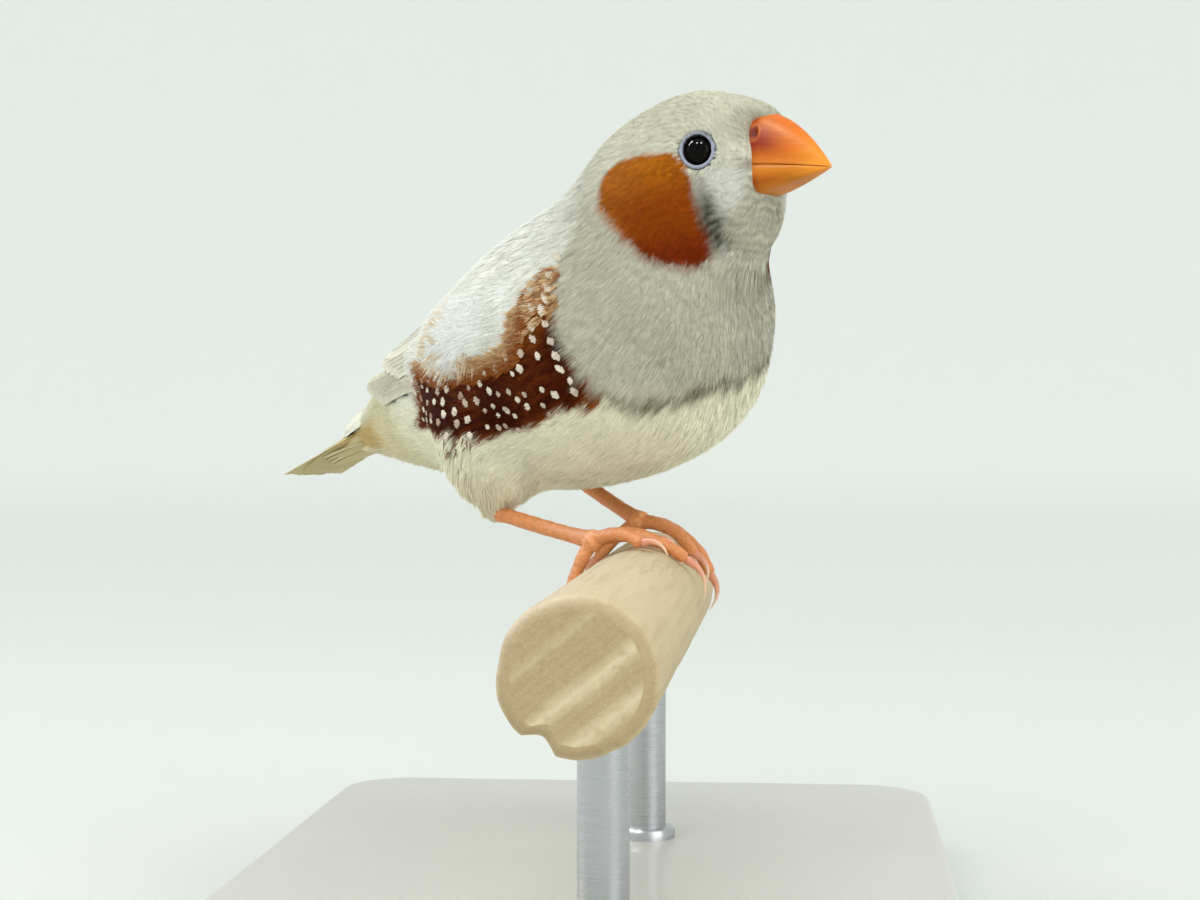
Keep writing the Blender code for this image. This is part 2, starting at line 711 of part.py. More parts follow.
def hub_place(foot):
    """World place of the joint from which the toes spread."""
    angle, radius, y = FEET[foot]["hub"]
    return round_perch(angle, radius, y)


def scuted(count, radius, taper):
    """Shares of a length and radii that step like overlapping scutes."""
    parts, radii = [], []
    for i in range(count):
        low = i / count
        high = (i + 1) / count
        size = radius * (1.0 + (taper - 1.0) * low)
        parts += [low + 0.04 / count, high - 0.04 / count]
        radii += [size * 0.93, size * 1.06]
    parts[0] = 0.0
    parts[-1] = 1.0
    return np.array(parts), np.array(radii)


def thigh(foot, name):
    """Feathered thigh: it grows from the body and holds the top of the tarsus."""
    top, bottom = (np.array(p) for p in THIGHS[foot])
    shares = (0.0, 0.35, 0.65, 0.88, 1.0)
    path = [posed(top + (bottom - top) * share) for share in shares]
    thing = loft(name, tube_rings(path, THIGH_RADII, 18, up=(0.3, 1.0, 0.2)))
    body = loft("body", body_rings(0.3, NECK_START, 20, lift=GAP))
    apply_boolean(thing, [body], "DIFFERENCE")
    hub = hub_place(foot)
    heel = posed(FEET[foot]["heel"])
    beyond = heel + (heel - hub) * 0.03
    rings = tube_rings((beyond, hub), (TARSUS_RADIUS * 1.15 + GAP,) * 2, 14)
    apply_boolean(thing, [loft("socket", rings)], "DIFFERENCE")
    keep_largest(thing)
    return finish(thing, "plumage_body")


def tarsus(foot, name):
    """Scaly tarsus, with plates that overlap toward the foot."""
    hub = hub_place(foot)
    heel = posed(FEET[foot]["heel"])
    length = np.linalg.norm(heel - hub)
    end = hub + (heel - hub) * ((HUB_RADIUS + GAP) / length)
    parts, radii = scuted(TARSUS_SCUTES, TARSUS_RADIUS, 1.0)
    path = heel + (end - heel) * parts[:, None]
    return finish(loft(name, tube_rings(path, radii, 10)), "leg")


def toe_path(foot, index):
    """Places from the hub to the tip of a toe, over the perch."""
    angle, radius, y = FEET[foot]["hub"]
    end_angle, end_y, arch = FEET[foot]["toes"][index]
    resting = PERCH_RADIUS + GAP + TOE_RADIUS * 1.1
    parts, radii = scuted(TOE_SCUTES[index], TOE_RADIUS, 0.82)
    height = resting + (radius - resting) * (1.0 - parts) ** 2
    height = height + (arch + 0.35) * np.sin(math.pi * parts)
    path = round_perch(angle + (end_angle - angle) * parts, height, y + end_y * parts ** 0.8)
    return path, radii


def foot_node(foot, name):
    """The hub with its four toes."""
    hub = hub_place(foot)
    heel = posed(FEET[foot]["heel"])
    toward = (heel - hub) / np.linalg.norm(heel - hub)
    stub = (hub - toward * 0.6, hub + toward * HUB_RADIUS)
    pieces = [loft("stub", tube_rings(stub, (HUB_RADIUS * 0.95, TARSUS_RADIUS * 1.05), 10))]
    pieces.append(ball("hub", hub, (HUB_RADIUS * 1.05,) * 3, 12, 8))
    for index in range(4):
        path, radii = toe_path(foot, index)
        pieces.append(loft("toe", tube_rings(path, radii, 8, up=(0.0, 1.0, 0.0))))
    return fused(name, pieces, "leg")


def claw(foot, index, name):
    """A curved claw, a gap beyond the toe that carries it."""
    path = toe_path(foot, index)[0]
    tip = path[-1]
    direction = path[-1] - path[-2]
    direction /= np.linalg.norm(direction)
    start = tip + direction * GAP
    offset = start - np.array((PERCH_X, 0.0, PERCH_Z))
    start_angle = math.degrees(math.atan2(offset[2], offset[0]))
    start_radius = math.hypot(offset[0], offset[2])
    end_angle = FEET[foot]["claws"][index]
    if index == 3 and start_angle < 0.0:
        start_angle += 360.0
    parts = np.linspace(0.0, 1.0, 6)
    reach = PERCH_RADIUS + GAP + 0.2
    height = start_radius + (reach - start_radius) * parts ** 1.5 + 0.55 * np.sin(math.pi * parts)
    y = start[1] + (path[-1][1] - path[-3][1]) * 0.5 * parts
    places = round_perch(start_angle + (end_angle - start_angle) * parts, height, y)
    size = CLAW_RADIUS * (1.0 - 0.78 * parts)
    return finish(loft(name, tube_rings(places, size, 6, up=(0.0, 1.0, 0.0))), "claw")


# ================================================================ perch and stand
def perch():
    """Short cut length of dowel, with bevelled ends and one lengthwise groove."""
    angle = np.linspace(0.0, 360.0, PERCH_SIDES, endpoint=False)
    inside = np.clip(1.0 - np.abs(angle - GROOVE_ANGLE) / GROOVE_HALF_ANGLE, 0.0, 1.0)
    radius = PERCH_RADIUS - GROOVE_DEPTH * np.sin(0.5 * math.pi * inside)
    half = 0.5 * PERCH_LENGTH
    rings = []
    bevel = half - PERCH_BEVEL
    for y, inset in ((-half, PERCH_BEVEL), (-bevel, 0.0), (bevel, 0.0), (half, PERCH_BEVEL)):
        rings.append(round_perch(angle, radius - inset, PERCH_MIDDLE_Y + y))
    return finish(loft("perch", rings), "perch")


def stand_rod(name, y):
    """A rod between the base and the perch; its top is hollowed to the perch."""
    base_top = BASE_SIZE[2]
    rings = []
    angle = np.linspace(0.0, 2.0 * math.pi, 20, endpoint=False)
    x = PERCH_X + ROD_RADIUS * np.cos(angle)
    side = y + ROD_RADIUS * np.sin(angle)
    saddle = PERCH_Z - np.sqrt((PERCH_RADIUS + GAP) ** 2 - (x - PERCH_X) ** 2)
    for height in (np.full_like(x, base_top + GAP), saddle):
        rings.append(np.stack((x, side, height), axis=-1))
    return finish(loft(name, rings), "stand_rod", 30.0)


def stand_base():
    """Flat plate with round corners and a bevelled upper edge."""
    outline = []
    half_x, half_y = (0.5 * size - BASE_CORNER_RADIUS for size in BASE_SIZE[:2])
    corners = ((half_x, half_y), (-half_x, half_y), (-half_x, -half_y), (half_x, -half_y))
    for corner, (cx, cy) in enumerate(corners):
        for step in range(7):
            angle = math.radians(90.0 * corner + 15.0 * step)
            outline.append((cx, cy, math.cos(angle), math.sin(angle)))
    rings = []
    top = BASE_SIZE[2]
    for height, inset in ((0.0, 0.0), (top - BASE_EDGE_BEVEL, 0.0), (top, BASE_EDGE_BEVEL)):
        reach = BASE_CORNER_RADIUS - inset
        rings.append([(cx + reach * x, cy + reach * y, height) for cx, cy, x, y in outline])
    return finish(loft("stand_base", rings), "stand_base", 30.0)


def build():
    """Make every node."""
    clear_scene()
    head()
    neck()
    torso()
    rump()
    tail()
    bill_upper()
    bill_lower()
    for side, word in ((1.0, "left"), (-1.0, "right")):
        eye(side, "eye_" + word)
        wing(side, "wing_" + word)
        thigh(word, "thigh_" + word)
        tarsus(word, "tarsus_" + word)
        foot_node(word, "foot_" + word)
        for index, digit in enumerate(("inner", "middle", "outer", "hind")):
            claw(word, index, "claw_" + word + "_" + digit)
    perch()
    stand_rod("stand_rod_front", PERCH_MIDDLE_Y - 0.5 * ROD_SPACING)
    stand_rod("stand_rod_rear", PERCH_MIDDLE_Y + 0.5 * ROD_SPACING)
    stand_base()


build()
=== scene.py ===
"""Looks of the zebra finch display model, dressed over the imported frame.

Sizes are millimetres and become metres as each mesh is made. The bird has the
frame that the solids have: u forward, v to its left, w up. "Plain" points are
those before the head's turn; the markings are laid out on them.
"""

import functools
import math

import bpy
import mathutils
import numpy as np
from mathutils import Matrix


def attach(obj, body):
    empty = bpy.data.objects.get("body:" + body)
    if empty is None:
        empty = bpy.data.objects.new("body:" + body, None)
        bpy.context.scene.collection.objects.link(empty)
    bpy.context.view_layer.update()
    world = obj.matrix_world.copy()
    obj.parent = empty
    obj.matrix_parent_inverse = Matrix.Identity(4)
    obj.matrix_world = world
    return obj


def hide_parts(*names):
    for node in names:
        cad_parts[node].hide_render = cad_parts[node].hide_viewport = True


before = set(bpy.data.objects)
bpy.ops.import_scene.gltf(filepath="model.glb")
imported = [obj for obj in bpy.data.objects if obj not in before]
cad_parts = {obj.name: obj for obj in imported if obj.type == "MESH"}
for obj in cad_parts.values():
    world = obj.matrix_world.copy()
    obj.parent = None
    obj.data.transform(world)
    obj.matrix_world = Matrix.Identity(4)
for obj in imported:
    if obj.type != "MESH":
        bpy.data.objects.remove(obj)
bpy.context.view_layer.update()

MM = 0.001
FULL_TURN = 2.0 * math.pi

# ---------------------------------------------------------------- as in the solids
BASE_SIZE = (78.0, 118.0, 8.0)
BASE_CORNER_RADIUS = 9.0
BASE_EDGE_ROUND = 1.2
ROD_RADIUS = 2.5
ROD_LENGTH = 20.0
ROD_SPACING = 52.0
GAP = 0.3
PERCH_RADIUS = 7.0
PERCH_LENGTH = 100.0
PERCH_X = 4.0
PERCH_MIDDLE_Y = -7.0
PERCH_BEVEL = 1.3
GROOVE_ANGLE = 240.0
GROOVE_HALF_ANGLE = 14.0
GROOVE_DEPTH = 1.1
PERCH_Z = BASE_SIZE[2] + GAP + ROD_LENGTH + GAP + PERCH_RADIUS
RIGHT_FOOT_Y = 6.0
FEET_MIDDLE_Y = RIGHT_FOOT_Y + 9.0
BODY_YAW = -42.55
HEAD_TURN = 13.0
HEAD_PIVOT_U = 6.0
TURN_START = 4.3
TURN_END = 6.6

# u, w: centre of a section; half width; height above; depth below; lean of its axis
STATIONS = np.array((
    (-50.5, 13.8, 3.8, 2.1, 4.2, 23.0),
    (-42.0, 16.6, 7.1, 4.6, 9.0, 24.0),
    (-31.0, 19.0, 12.0, 8.5, 13.1, 22.0),
    (-16.5, 21.5, 16.4, 13.6, 16.7, 24.0),
    (-3.2, 25.6, 18.2, 16.0, 17.8, 36.0),
    (4.2, 32.4, 14.3, 13.9, 15.0, 45.0),
    (7.4, 38.8, 11.6, 11.8, 11.8, 41.0),
    (11.7, 43.2, 9.2, 8.7, 12.0, 20.0),
    (15.7, 43.4, 7.8, 7.0, 9.9, 6.0),
    (17.4, 43.6, 4.3, 4.9, 6.3, 3.0),
))
LAST = len(STATIONS) - 1
NOSE = 0.36                                 # stations over which the plumage rounds off at the bill
FOREHEAD_REACH = 1.7                        # how far the forehead's plumage lies over the bill's ridge
FOREHEAD_FADE = (7.5, 9.1)                  # stations over which it moves forward
FACE_HOLLOW = 0.9
FACE_HOLLOW_RADIUS = 4.5
NOSTRIL_HOLLOW = (0.5, 0.8)                 # backward and inward
NOSTRIL_HOLLOW_RADIUS = 1.5
EYE_PLACE = np.array((13.4, 7.7, 43.8))
EYE_FORWARD = 14.0
EYE_RADIUS = 1.9
EYE_SINK = 1.47
BILL_BASE_U = 17.7
BILL_TIP = (25.9, 41.9)
BILL_BASE_HALF_WIDTH = 3.35
CULMEN_BASE_W = 48.4
GAPE_BASE_W = 42.4
CHIN_BASE_W = 39.3
UPPER_ROUNDING = (0.75, 1.1)
LOWER_ROUNDING = (0.34, 0.56)
NOSTRIL_PLACE = (17.75, 2.75, 45.9)
WING_FRONT = 4.35
WING_BACK = 0.62
WING_LOW = 24.0
WING_RISE = 34.0
WING_TOP_LIMIT = 84.0
BED_DEPTH = 2.6
BED_END_DEPTH = 0.1
BED_FADE = (0.55, 0.95)
WING_LENGTH_MARKS = (0.0, 0.06, 0.18, 0.4, 0.65, 0.85, 0.97, 1.02)
WING_HALF_BREADTH = (3.4, 6.0, 7.8, 8.0, 7.1, 5.2, 3.6, 2.9)
WING_MM = 44.5                              # the folded wing's length over the body's curve
TAIL_LENGTH = 20.0
TAIL_LEAN = 19.5
TAIL_TOP = 0.25                             # height of the uppermost feather
TAIL_STEP = 0.17                            # from one pair of them down to the next
TARSUS_RADIUS = 1.0
HUB_RADIUS = 1.35
TOE_RADIUS = 0.85
CLAW_RADIUS = 0.55
TOE_SCUTES = (4, 6, 4, 3)
FEET = {
    # hub: angle round the perch, radius, y; heel: bird frame; toes: end angle, end y, arch
    "right": {
        "hub": (122.0, 9.3, RIGHT_FOOT_Y + 1.0),
        "heel": (-14.0, -10.0, 3.5),
        "toes": ((76.0, 6.0, 0.5), (46.0, 3.0, 0.0), (84.0, -2.8, 0.8), (166.0, 0.3, 0.0)),
        "claws": (54.0, 8.0, 60.0, 190.0),
    },
    "left": {
        "hub": (97.0, 9.3, RIGHT_FOOT_Y + 20.0),
        "heel": (-22.0, 8.4, 7.6),
        "toes": ((44.0, -3.2, 0.5), (20.0, 1.2, 0.2), (50.0, 5.0, 0.5), (144.0, 0.4, 0.0)),
        "claws": (16.0, -12.0, 22.0, 172.0),
    },
}
THIGHS = {
    "right": ((-16.3, -8.6, 14.0), (-14.6, -9.8, 4.0)),
    "left": ((-15.0, 9.0, 15.0), (-22.2, 8.6, 8.4)),
}
THIGH_SHARES = (0.0, 0.35, 0.65, 0.88, 1.0)
THIGH_RADII = (7.4, 7.0, 5.6, 3.8, 1.8)
SWELL_STATIONS = (1.2, 4.4)                 # where the thighs' plumage stands out from the belly
SWELL_REACH = 10.0
SWELL_BLEND = 3.5
SWELL_ROUNDS = 30                           # steps toward the place where the two meet


# ================================================================ small helpers
def tone(red, green, blue):
    """A colour given as it looks on a screen, 0 to 255, as linear light."""
    value = np.array((red, green, blue)) / 255.0
    return np.where(value <= 0.04045, value / 12.92, ((value + 0.055) / 1.055) ** 2.4)


def soft(x, low, high):
    """A smooth step from 0 at low to 1 at high."""
    x = np.clip((np.asarray(x, dtype=float) - low) / (high - low), 0.0, 1.0)
    return x * x * (3.0 - 2.0 * x)


def mix(first, second, share):
    """Between two colours, or arrays of them, by an array of shares."""
    share = np.asarray(share)[..., None]
    return first + (second - first) * share


def unit(vectors):
    """The same vectors with a length of one."""
    return vectors / np.maximum(np.linalg.norm(vectors, axis=-1, keepdims=True), 1e-9)


def bell(x, middle, width):
    """1 where x is at the middle, falling off on both sides within about a width."""
    return np.exp(-((x - middle) / width) ** 2)


def round_angles(count):
    """Even angles once round a circle."""
    return np.linspace(0.0, FULL_TURN, count, endpoint=False)


def ball_angles(rows, columns, gap):
    """Angles from a ball's pole and round its axis; gap keeps them off the poles."""
    return np.meshgrid(np.linspace(gap, math.pi - gap, rows), round_angles(columns), indexing="ij")


def joined(x, y, z):
    """Points from their coordinates, which may be of unlike shapes."""
    return np.stack(np.broadcast_arrays(x, y, z), axis=-1)


def waves(points, size, seed):
    """Smooth, repeatable unevenness between about -1 and 1, with features of a size."""
    rng = np.random.default_rng(seed)
    total = 0.0
    for _ in range(5):
        direction = unit(rng.normal(size=3)) * rng.uniform(0.7, 1.5) * FULL_TURN / size
        total = total + np.sin(points @ direction + rng.uniform(0.0, 6.0))
    return total / 2.6


# ================================================================ the body's surface
def station_values(t):
    """The six section values at t, on a smooth curve through STATIONS."""
    t = np.asarray(t, dtype=float)
    i = np.clip(np.floor(t).astype(int), 0, LAST - 1)
    x = (t - i)[..., None]
    here = STATIONS[i]
    after = STATIONS[i + 1]
    before = np.where((i > 0)[..., None], STATIONS[np.maximum(i - 1, 0)], 2 * here - after)
    beyond = np.where((i + 2 <= LAST)[..., None], STATIONS[np.minimum(i + 2, LAST)], 2 * after - here)
    slope = after - before
    bend = 2 * before - 5 * here + 4 * after - beyond
    cubic = -before + 3 * here - 3 * after + beyond
    return 0.5 * (2 * here + slope * x + bend * x ** 2 + cubic * x ** 3)


def section_surface(t, phi, lift):
    """Plain points over the body's sections, moved out by lift, and their directions out.

    Past the last station the surface rounds off toward the bill.
    """
    over = np.clip((t - LAST) / NOSE, 0.0, 1.0)
    value = station_values(np.minimum(t, LAST))
    lean = np.radians(value[..., 5])
    height = np.where(np.sin(phi) > 0.0, value[..., 3], value[..., 4])
    out_side = np.cos(phi) / value[..., 2]
    out_up = np.sin(phi) / height
    size = np.hypot(out_side, out_up)
    shrink = np.sqrt(1.0 - 0.6 * over ** 2)
    lift = lift * (1.0 - 0.5 * over)
    side = value[..., 2] * np.cos(phi) * shrink + lift * out_side / size
    up = height * np.sin(phi) * shrink + lift * out_up / size
    along = 0.4 * over
    points = joined(
        value[..., 0] - np.sin(lean) * up + np.cos(lean) * along,
        side,
        value[..., 1] + np.cos(lean) * up + np.sin(lean) * along,
    )
    out = np.stack((-np.sin(lean) * out_up, out_side, np.cos(lean) * out_up), axis=-1) / size[..., None]
    return points, out


def thigh_distance(points):
    """Millimetres outside the nearer feathered thigh."""
    nearest = np.full(points.shape[:-1], 2.0 * SWELL_REACH)
    for ends in THIGHS.values():
        top, bottom = (np.array(end) for end in ends)
        run = bottom - top
        share = np.clip((points - top) @ run / (run @ run), 0.0, 1.0)
        away = np.linalg.norm(points - top - share[..., None] * run, axis=-1)
        nearest = np.minimum(nearest, away - np.interp(share, THIGH_SHARES, THIGH_RADII))
    return nearest


@functools.lru_cache
def swell_table():
    """How far the thighs carry the plumage out, over a grid of stations and angles."""
    t, phi = np.meshgrid(
        np.linspace(*SWELL_STATIONS, 200), np.linspace(-math.pi, math.pi, 361), indexing="ij")
    start, out = section_surface(t, phi, np.zeros_like(t))
    reach = np.full(t.shape, SWELL_REACH)
    for _ in range(SWELL_ROUNDS):
        thigh = thigh_distance(start + reach[..., None] * out)
        near = np.clip(1.0 - np.abs(thigh - reach) / SWELL_BLEND, 0.0, None)
        gap = np.minimum(thigh, reach) - 0.25 * SWELL_BLEND * near ** 2
        reach = np.clip(reach - 0.8 * gap, 0.0, SWELL_REACH)
    return reach * soft(t, SWELL_STATIONS[0], SWELL_STATIONS[0] + 0.3)


def swell(t, phi):
    """How far the thighs carry the plumage out at a place."""
    table = swell_table()
    rows, columns = table.shape
    low, high = SWELL_STATIONS
    x = np.clip((t - low) / (high - low), 0.0, 1.0) * (rows - 1)
    y = ((phi + math.pi) % FULL_TURN) / FULL_TURN * (columns - 1)
    i = np.minimum(x.astype(int), rows - 2)
    j = np.minimum(y.astype(int), columns - 2)
    x, y = x - i, y - j
    near = table[i, j] * (1.0 - y) + table[i, j + 1] * y
    far = table[i + 1, j] * (1.0 - y) + table[i + 1, j + 1] * y
    return (near * (1.0 - x) + far * x) * ((t > low) & (t < high))


def shell(t, phi, lift=0.0):
    """Plain points of the outer plumage, moved out by lift.

    phi is 0 on the left and a quarter turn on the back.
    """
    t, phi, lift = np.broadcast_arrays(*(np.asarray(x, dtype=float) for x in (t, phi, lift)))
    points = section_surface(t, phi, lift + swell(t, phi))[0]
    brow = soft(np.sin(phi), 0.8, 1.0)
    points[..., 0] += FOREHEAD_REACH * brow * soft(t, *FOREHEAD_FADE)
    for side in (-1.0, 1.0):
        eye = mirrored(EYE_PLACE, side)
        near = np.exp(-np.sum((points - eye) ** 2, axis=-1) / FACE_HOLLOW_RADIUS ** 2)
        points[..., 1] -= side * FACE_HOLLOW * near
        nostril = mirrored(NOSTRIL_PLACE, side)
        near = np.exp(-np.sum((points - nostril) ** 2, axis=-1) / NOSTRIL_HOLLOW_RADIUS ** 2)
        points[..., 1] -= side * NOSTRIL_HOLLOW[1] * near
        points[..., 0] -= NOSTRIL_HOLLOW[0] * near
    return points


def head_turned(points, t):
    """Turn points to the bird's left by as much of HEAD_TURN as station t takes."""
    k = np.clip((np.asarray(t, dtype=float) - TURN_START) / (TURN_END - TURN_START), 0.0, 1.0)
    angle = math.radians(HEAD_TURN) * k * k * (3.0 - 2.0 * k)
    ahead = points[..., 0] - HEAD_PIVOT_U
    side = points[..., 1]
    turned = np.array(points, dtype=float)
    turned[..., 0] = HEAD_PIVOT_U + ahead * np.cos(angle) - side * np.sin(angle)
    turned[..., 1] = ahead * np.sin(angle) + side * np.cos(angle)
    return turned


def posed(points):
    """Bird frame to the world, both in millimetres."""
    yaw = math.radians(BODY_YAW)
    points = np.asarray(points, dtype=float)
    world = np.empty_like(points)
    world[..., 0] = PERCH_X + points[..., 0] * math.cos(yaw) - points[..., 1] * math.sin(yaw)
    world[..., 1] = FEET_MIDDLE_Y + points[..., 0] * math.sin(yaw) + points[..., 1] * math.cos(yaw)
    world[..., 2] = PERCH_Z + PERCH_RADIUS + points[..., 2]
    return world


def on_head(points):
    """A plain point of the head, turned with it, in the world."""
    return posed(head_turned(np.asarray(points, dtype=float), TURN_END))


def mirrored(points, side):
    """side is 1 for the left, -1 for the right; points are given for the left."""
    return np.asarray(points, dtype=float) * (1.0, side, 1.0)


def body_surface(t, phi, lift):
    """Plain and world points of the body."""
    plain = shell(t, phi, lift)
    return plain, posed(head_turned(plain, t))


def above_side(phi):
    """Degrees above the side line, alike on the left and the right."""
    return np.degrees(np.arcsin(np.sin(phi)))


def side_phi(side, above):
    """The angle round the body at so many degrees above the side line."""
    return np.radians(above) if side > 0.0 else math.pi - np.radians(above)


# ================================================================ joined meshes
class Pile:
    """Points, faces, colours and bake places of one joined mesh."""

    def __init__(self):
        self.points, self.tints, self.places, self.normals = [], [], [], []
        self.quads, self.tris = [], []
        self.count = 0

    def add(self, points, tint, quads=None, tris=None, places=None, normals=None):
        """Add points (any shape, 3) with one tint or one for each; faces index them flat.

        Where normals are given, light falls on the points as on a surface that faces so.
        """
        points = np.asarray(points, dtype=float).reshape(-1, 3)
        tint = np.broadcast_to(np.asarray(tint, dtype=float).reshape(-1, 3), points.shape)
        self.points.append(points)
        self.tints.append(tint)
        if places is None:
            places = np.zeros((len(points), 2))
        self.places.append(np.asarray(places, dtype=float).reshape(-1, 2))
        if normals is not None:
            self.normals.append(np.asarray(normals, dtype=float).reshape(-1, 3))
        if quads is not None and len(quads):
            self.quads.append(np.asarray(quads).reshape(-1, 4) + self.count)
        if tris is not None and len(tris):
            self.tris.append(np.asarray(tris).reshape(-1, 3) + self.count)
        self.count += len(points)

    def cap(self, ring, tint, middle=None):
        """Close a ring with a fan of triangles round its middle."""
        middle = ring.mean(axis=0) if middle is None else middle
        here = np.arange(len(ring))
        after = (here + 1) % len(ring)
        fan = np.stack((here, after, np.full(len(ring), len(ring))), axis=-1)
        self.add(np.concatenate((ring, middle[None])), tint, tris=fan)

    def make(self, name, material, nodes=(), bake_map=False):
        """The piece: a smooth mesh that rides on the model."""
        points = np.concatenate(self.points) * MM
        tints = np.clip(np.concatenate(self.tints), 0.0, 1.0)
        quads = np.concatenate(self.quads) if self.quads else np.zeros((0, 4), int)
        tris = np.concatenate(self.tris) if self.tris else np.zeros((0, 3), int)
        corners = np.concatenate((quads.ravel(), tris.ravel())).astype(np.int32)
        sizes = np.concatenate((np.full(len(quads), 4), np.full(len(tris), 3)))
        starts = np.concatenate(((0,), np.cumsum(sizes)[:-1])).astype(np.int32)
        mesh = bpy.data.meshes.new(name)
        mesh.vertices.add(len(points))
        mesh.vertices.foreach_set("co", points.astype(np.float32).ravel())
        mesh.loops.add(len(corners))
        mesh.loops.foreach_set("vertex_index", corners)
        mesh.polygons.add(len(sizes))
        mesh.polygons.foreach_set("loop_start", starts)
        mesh.update(calc_edges=True)
        mesh.shade_smooth()
        if self.normals:
            mesh.normals_split_custom_set_from_vertices(np.concatenate(self.normals).astype(np.float32))
        colour = mesh.attributes.new("tint", "FLOAT_COLOR", "POINT")
        rgba = np.column_stack((tints, np.ones(len(tints))))
        colour.data.foreach_set("color", rgba.astype(np.float32).ravel())
        if bake_map:
            layer = mesh.uv_layers.new(name="OFBake")
            places = np.concatenate(self.places)[corners]
            layer.data.foreach_set("uv", places.astype(np.float32).ravel())
        mesh.materials.append(material)
        thing = bpy.data.objects.new(name, mesh)
        bpy.context.scene.collection.objects.link(thing)
        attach(thing, "root")
        if nodes:
            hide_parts(*nodes)
        return thing


def sheet_faces(rows, columns, closed=False):
    """Quads over a grid of points; closed joins its last column to the first."""
    r = np.arange(rows - 1)[:, None]
    c = np.arange(columns if closed else columns - 1)[None]
    a = r * columns + c
    b = r * columns + (c + 1) % columns
    return np.stack((a, b, b + columns, a + columns), axis=-1).reshape(-1, 4)


def sheet_places(rows, columns):
    """Places on a unit square for a grid of points."""
    steps = (np.linspace(0.01, 0.99, count) for count in (rows, columns))
    down, across = np.meshgrid(*steps, indexing="ij")
    return np.stack((across, down), axis=-1)


def add_tube(pile, rings, tint):
    """A closed tube through rings (rows, sides, 3), its ends drawn to their middles."""
    rings = np.asarray(rings, dtype=float)
    rows, sides = rings.shape[:2]
    middles = np.stack((rings[0].mean(axis=0), rings[-1].mean(axis=0)))
    points = np.concatenate((rings.reshape(-1, 3), middles))
    tint = np.broadcast_to(tint, rings.shape)
    tints = np.concatenate((tint.reshape(-1, 3), tint[0, :1], tint[-1, :1]))
    here = np.arange(sides)
    after = (here + 1) % sides
    last = (rows - 1) * sides
    near = np.stack((np.full(sides, rows * sides), after, here), axis=-1)
    far = np.stack((np.full(sides, rows * sides + 1), last + here, last + after), axis=-1)
    pile.add(points, tints, sheet_faces(rows, sides, closed=True), np.concatenate((near, far)))


def level_ring(x, y, radius, height, turn):
    """Points of a level circle, at the angles turn."""
    height = np.full(len(turn), height)
    return np.column_stack((x + radius * np.cos(turn), y + radius * np.sin(turn), height))


def tube_frame(path, up):
    """Directions across and over a path, at each of its points."""
    direction = unit(np.gradient(path, axis=0))
    across = unit(np.cross(np.asarray(up, dtype=float), direction))
    return across, np.cross(direction, across)


# ================================================================ materials
class Look:
    """A Principled material whose colour starts from the mesh's tint.

    Where a value is followed by a span, it is moved to that span as ranged does.
    """

    def __init__(self, name, roughness, metallic=0.0, gloss=0.5, coat=0.0, tinted=True):
        self.material = bpy.data.materials.new(name)
        self.material.use_nodes = True
        self.tree = self.material.node_tree
        self.shader = self.tree.nodes["Principled BSDF"]
        self.colour = self.shader.inputs["Base Color"]
        self.shader.inputs["Roughness"].default_value = roughness
        self.shader.inputs["Metallic"].default_value = metallic
        self.shader.inputs["Specular IOR Level"].default_value = gloss
        self.shader.inputs["Coat Weight"].default_value = coat
        if tinted:
            tint = self.node("Attribute", {}, attribute_name="tint")
            self.link(tint.outputs["Color"], self.colour)

    def link(self, source, target):
        """Join two sockets."""
        self.tree.links.new(source, target)

    def node(self, kind, inputs, **settings):
        """A new shader node, its inputs joined to sockets or set to values."""
        node = self.tree.nodes.new("ShaderNode" + kind)
        for name, setting in settings.items():
            setattr(node, name, setting)
        for name, value in inputs.items():
            if isinstance(value, bpy.types.NodeSocket):
                self.link(value, node.inputs[name])
            else:
                node.inputs[name].default_value = value
        return node

    def places(self, stretch=(1.0, 1.0, 1.0)):
        """Object coordinates in millimetres, stretched."""
        where = self.node("TexCoord", {}).outputs["Object"]
        scale = [share / MM for share in stretch]
        return self.node("Mapping", {"Scale": scale, "Vector": where}).outputs["Vector"]

    def noise(self, scale, detail=3.0, rough=0.5, stretch=(1.0, 1.0, 1.0)):
        """A noise texture's value."""
        inputs = {"Scale": scale, "Detail": detail, "Roughness": rough, "Vector": self.places(stretch)}
        return self.node("TexNoise", inputs).outputs["Fac"]

    def cells(self, scale, stretch=(1.0, 1.0, 1.0), feature="DISTANCE_TO_EDGE"):
        """Distance to the edges of cells, or to their middles with the feature F1."""
        inputs = {"Scale": scale, "Vector": self.places(stretch)}
        return self.node("TexVoronoi", inputs, feature=feature).outputs["Distance"]

    def ranged(self, value, low, high, from_low=0.3, from_high=0.7):
        """A value moved from one range to another."""
        inputs = {"From Min": from_low, "From Max": from_high, "To Min": low, "To Max": high, "Value": value}
        return self.node("MapRange", inputs).outputs["Result"]

    def shade(self, value, *span):
        """Multiply the colour by a value."""
        inputs = {"Scale": self.ranged(value, *span), 0: self.colour.links[0].from_socket}
        self.link(self.node("VectorMath", inputs, operation="SCALE").outputs["Vector"], self.colour)

    def toward(self, tint, value, *span):
        """Mix the colour toward another by a value."""
        inputs = {0: self.ranged(value, *span), 6: self.colour.links[0].from_socket, 7: (*tint, 1.0)}
        self.link(self.node("Mix", inputs, data_type="RGBA").outputs[2], self.colour)

    def bump(self, value, distance, strength=1.0):
        """Bump from a value; distance is its height in millimetres."""
        normal = self.shader.inputs["Normal"]
        inputs = {"Distance": distance * MM, "Strength": strength, "Height": value}
        if normal.links:
            inputs["Normal"] = normal.links[0].from_socket
        self.link(self.node("Bump", inputs).outputs["Normal"], normal)

    def roughen(self, value, *span):
        """Drive the roughness by a value."""
        self.link(self.ranged(value, *span), self.shader.inputs["Roughness"])


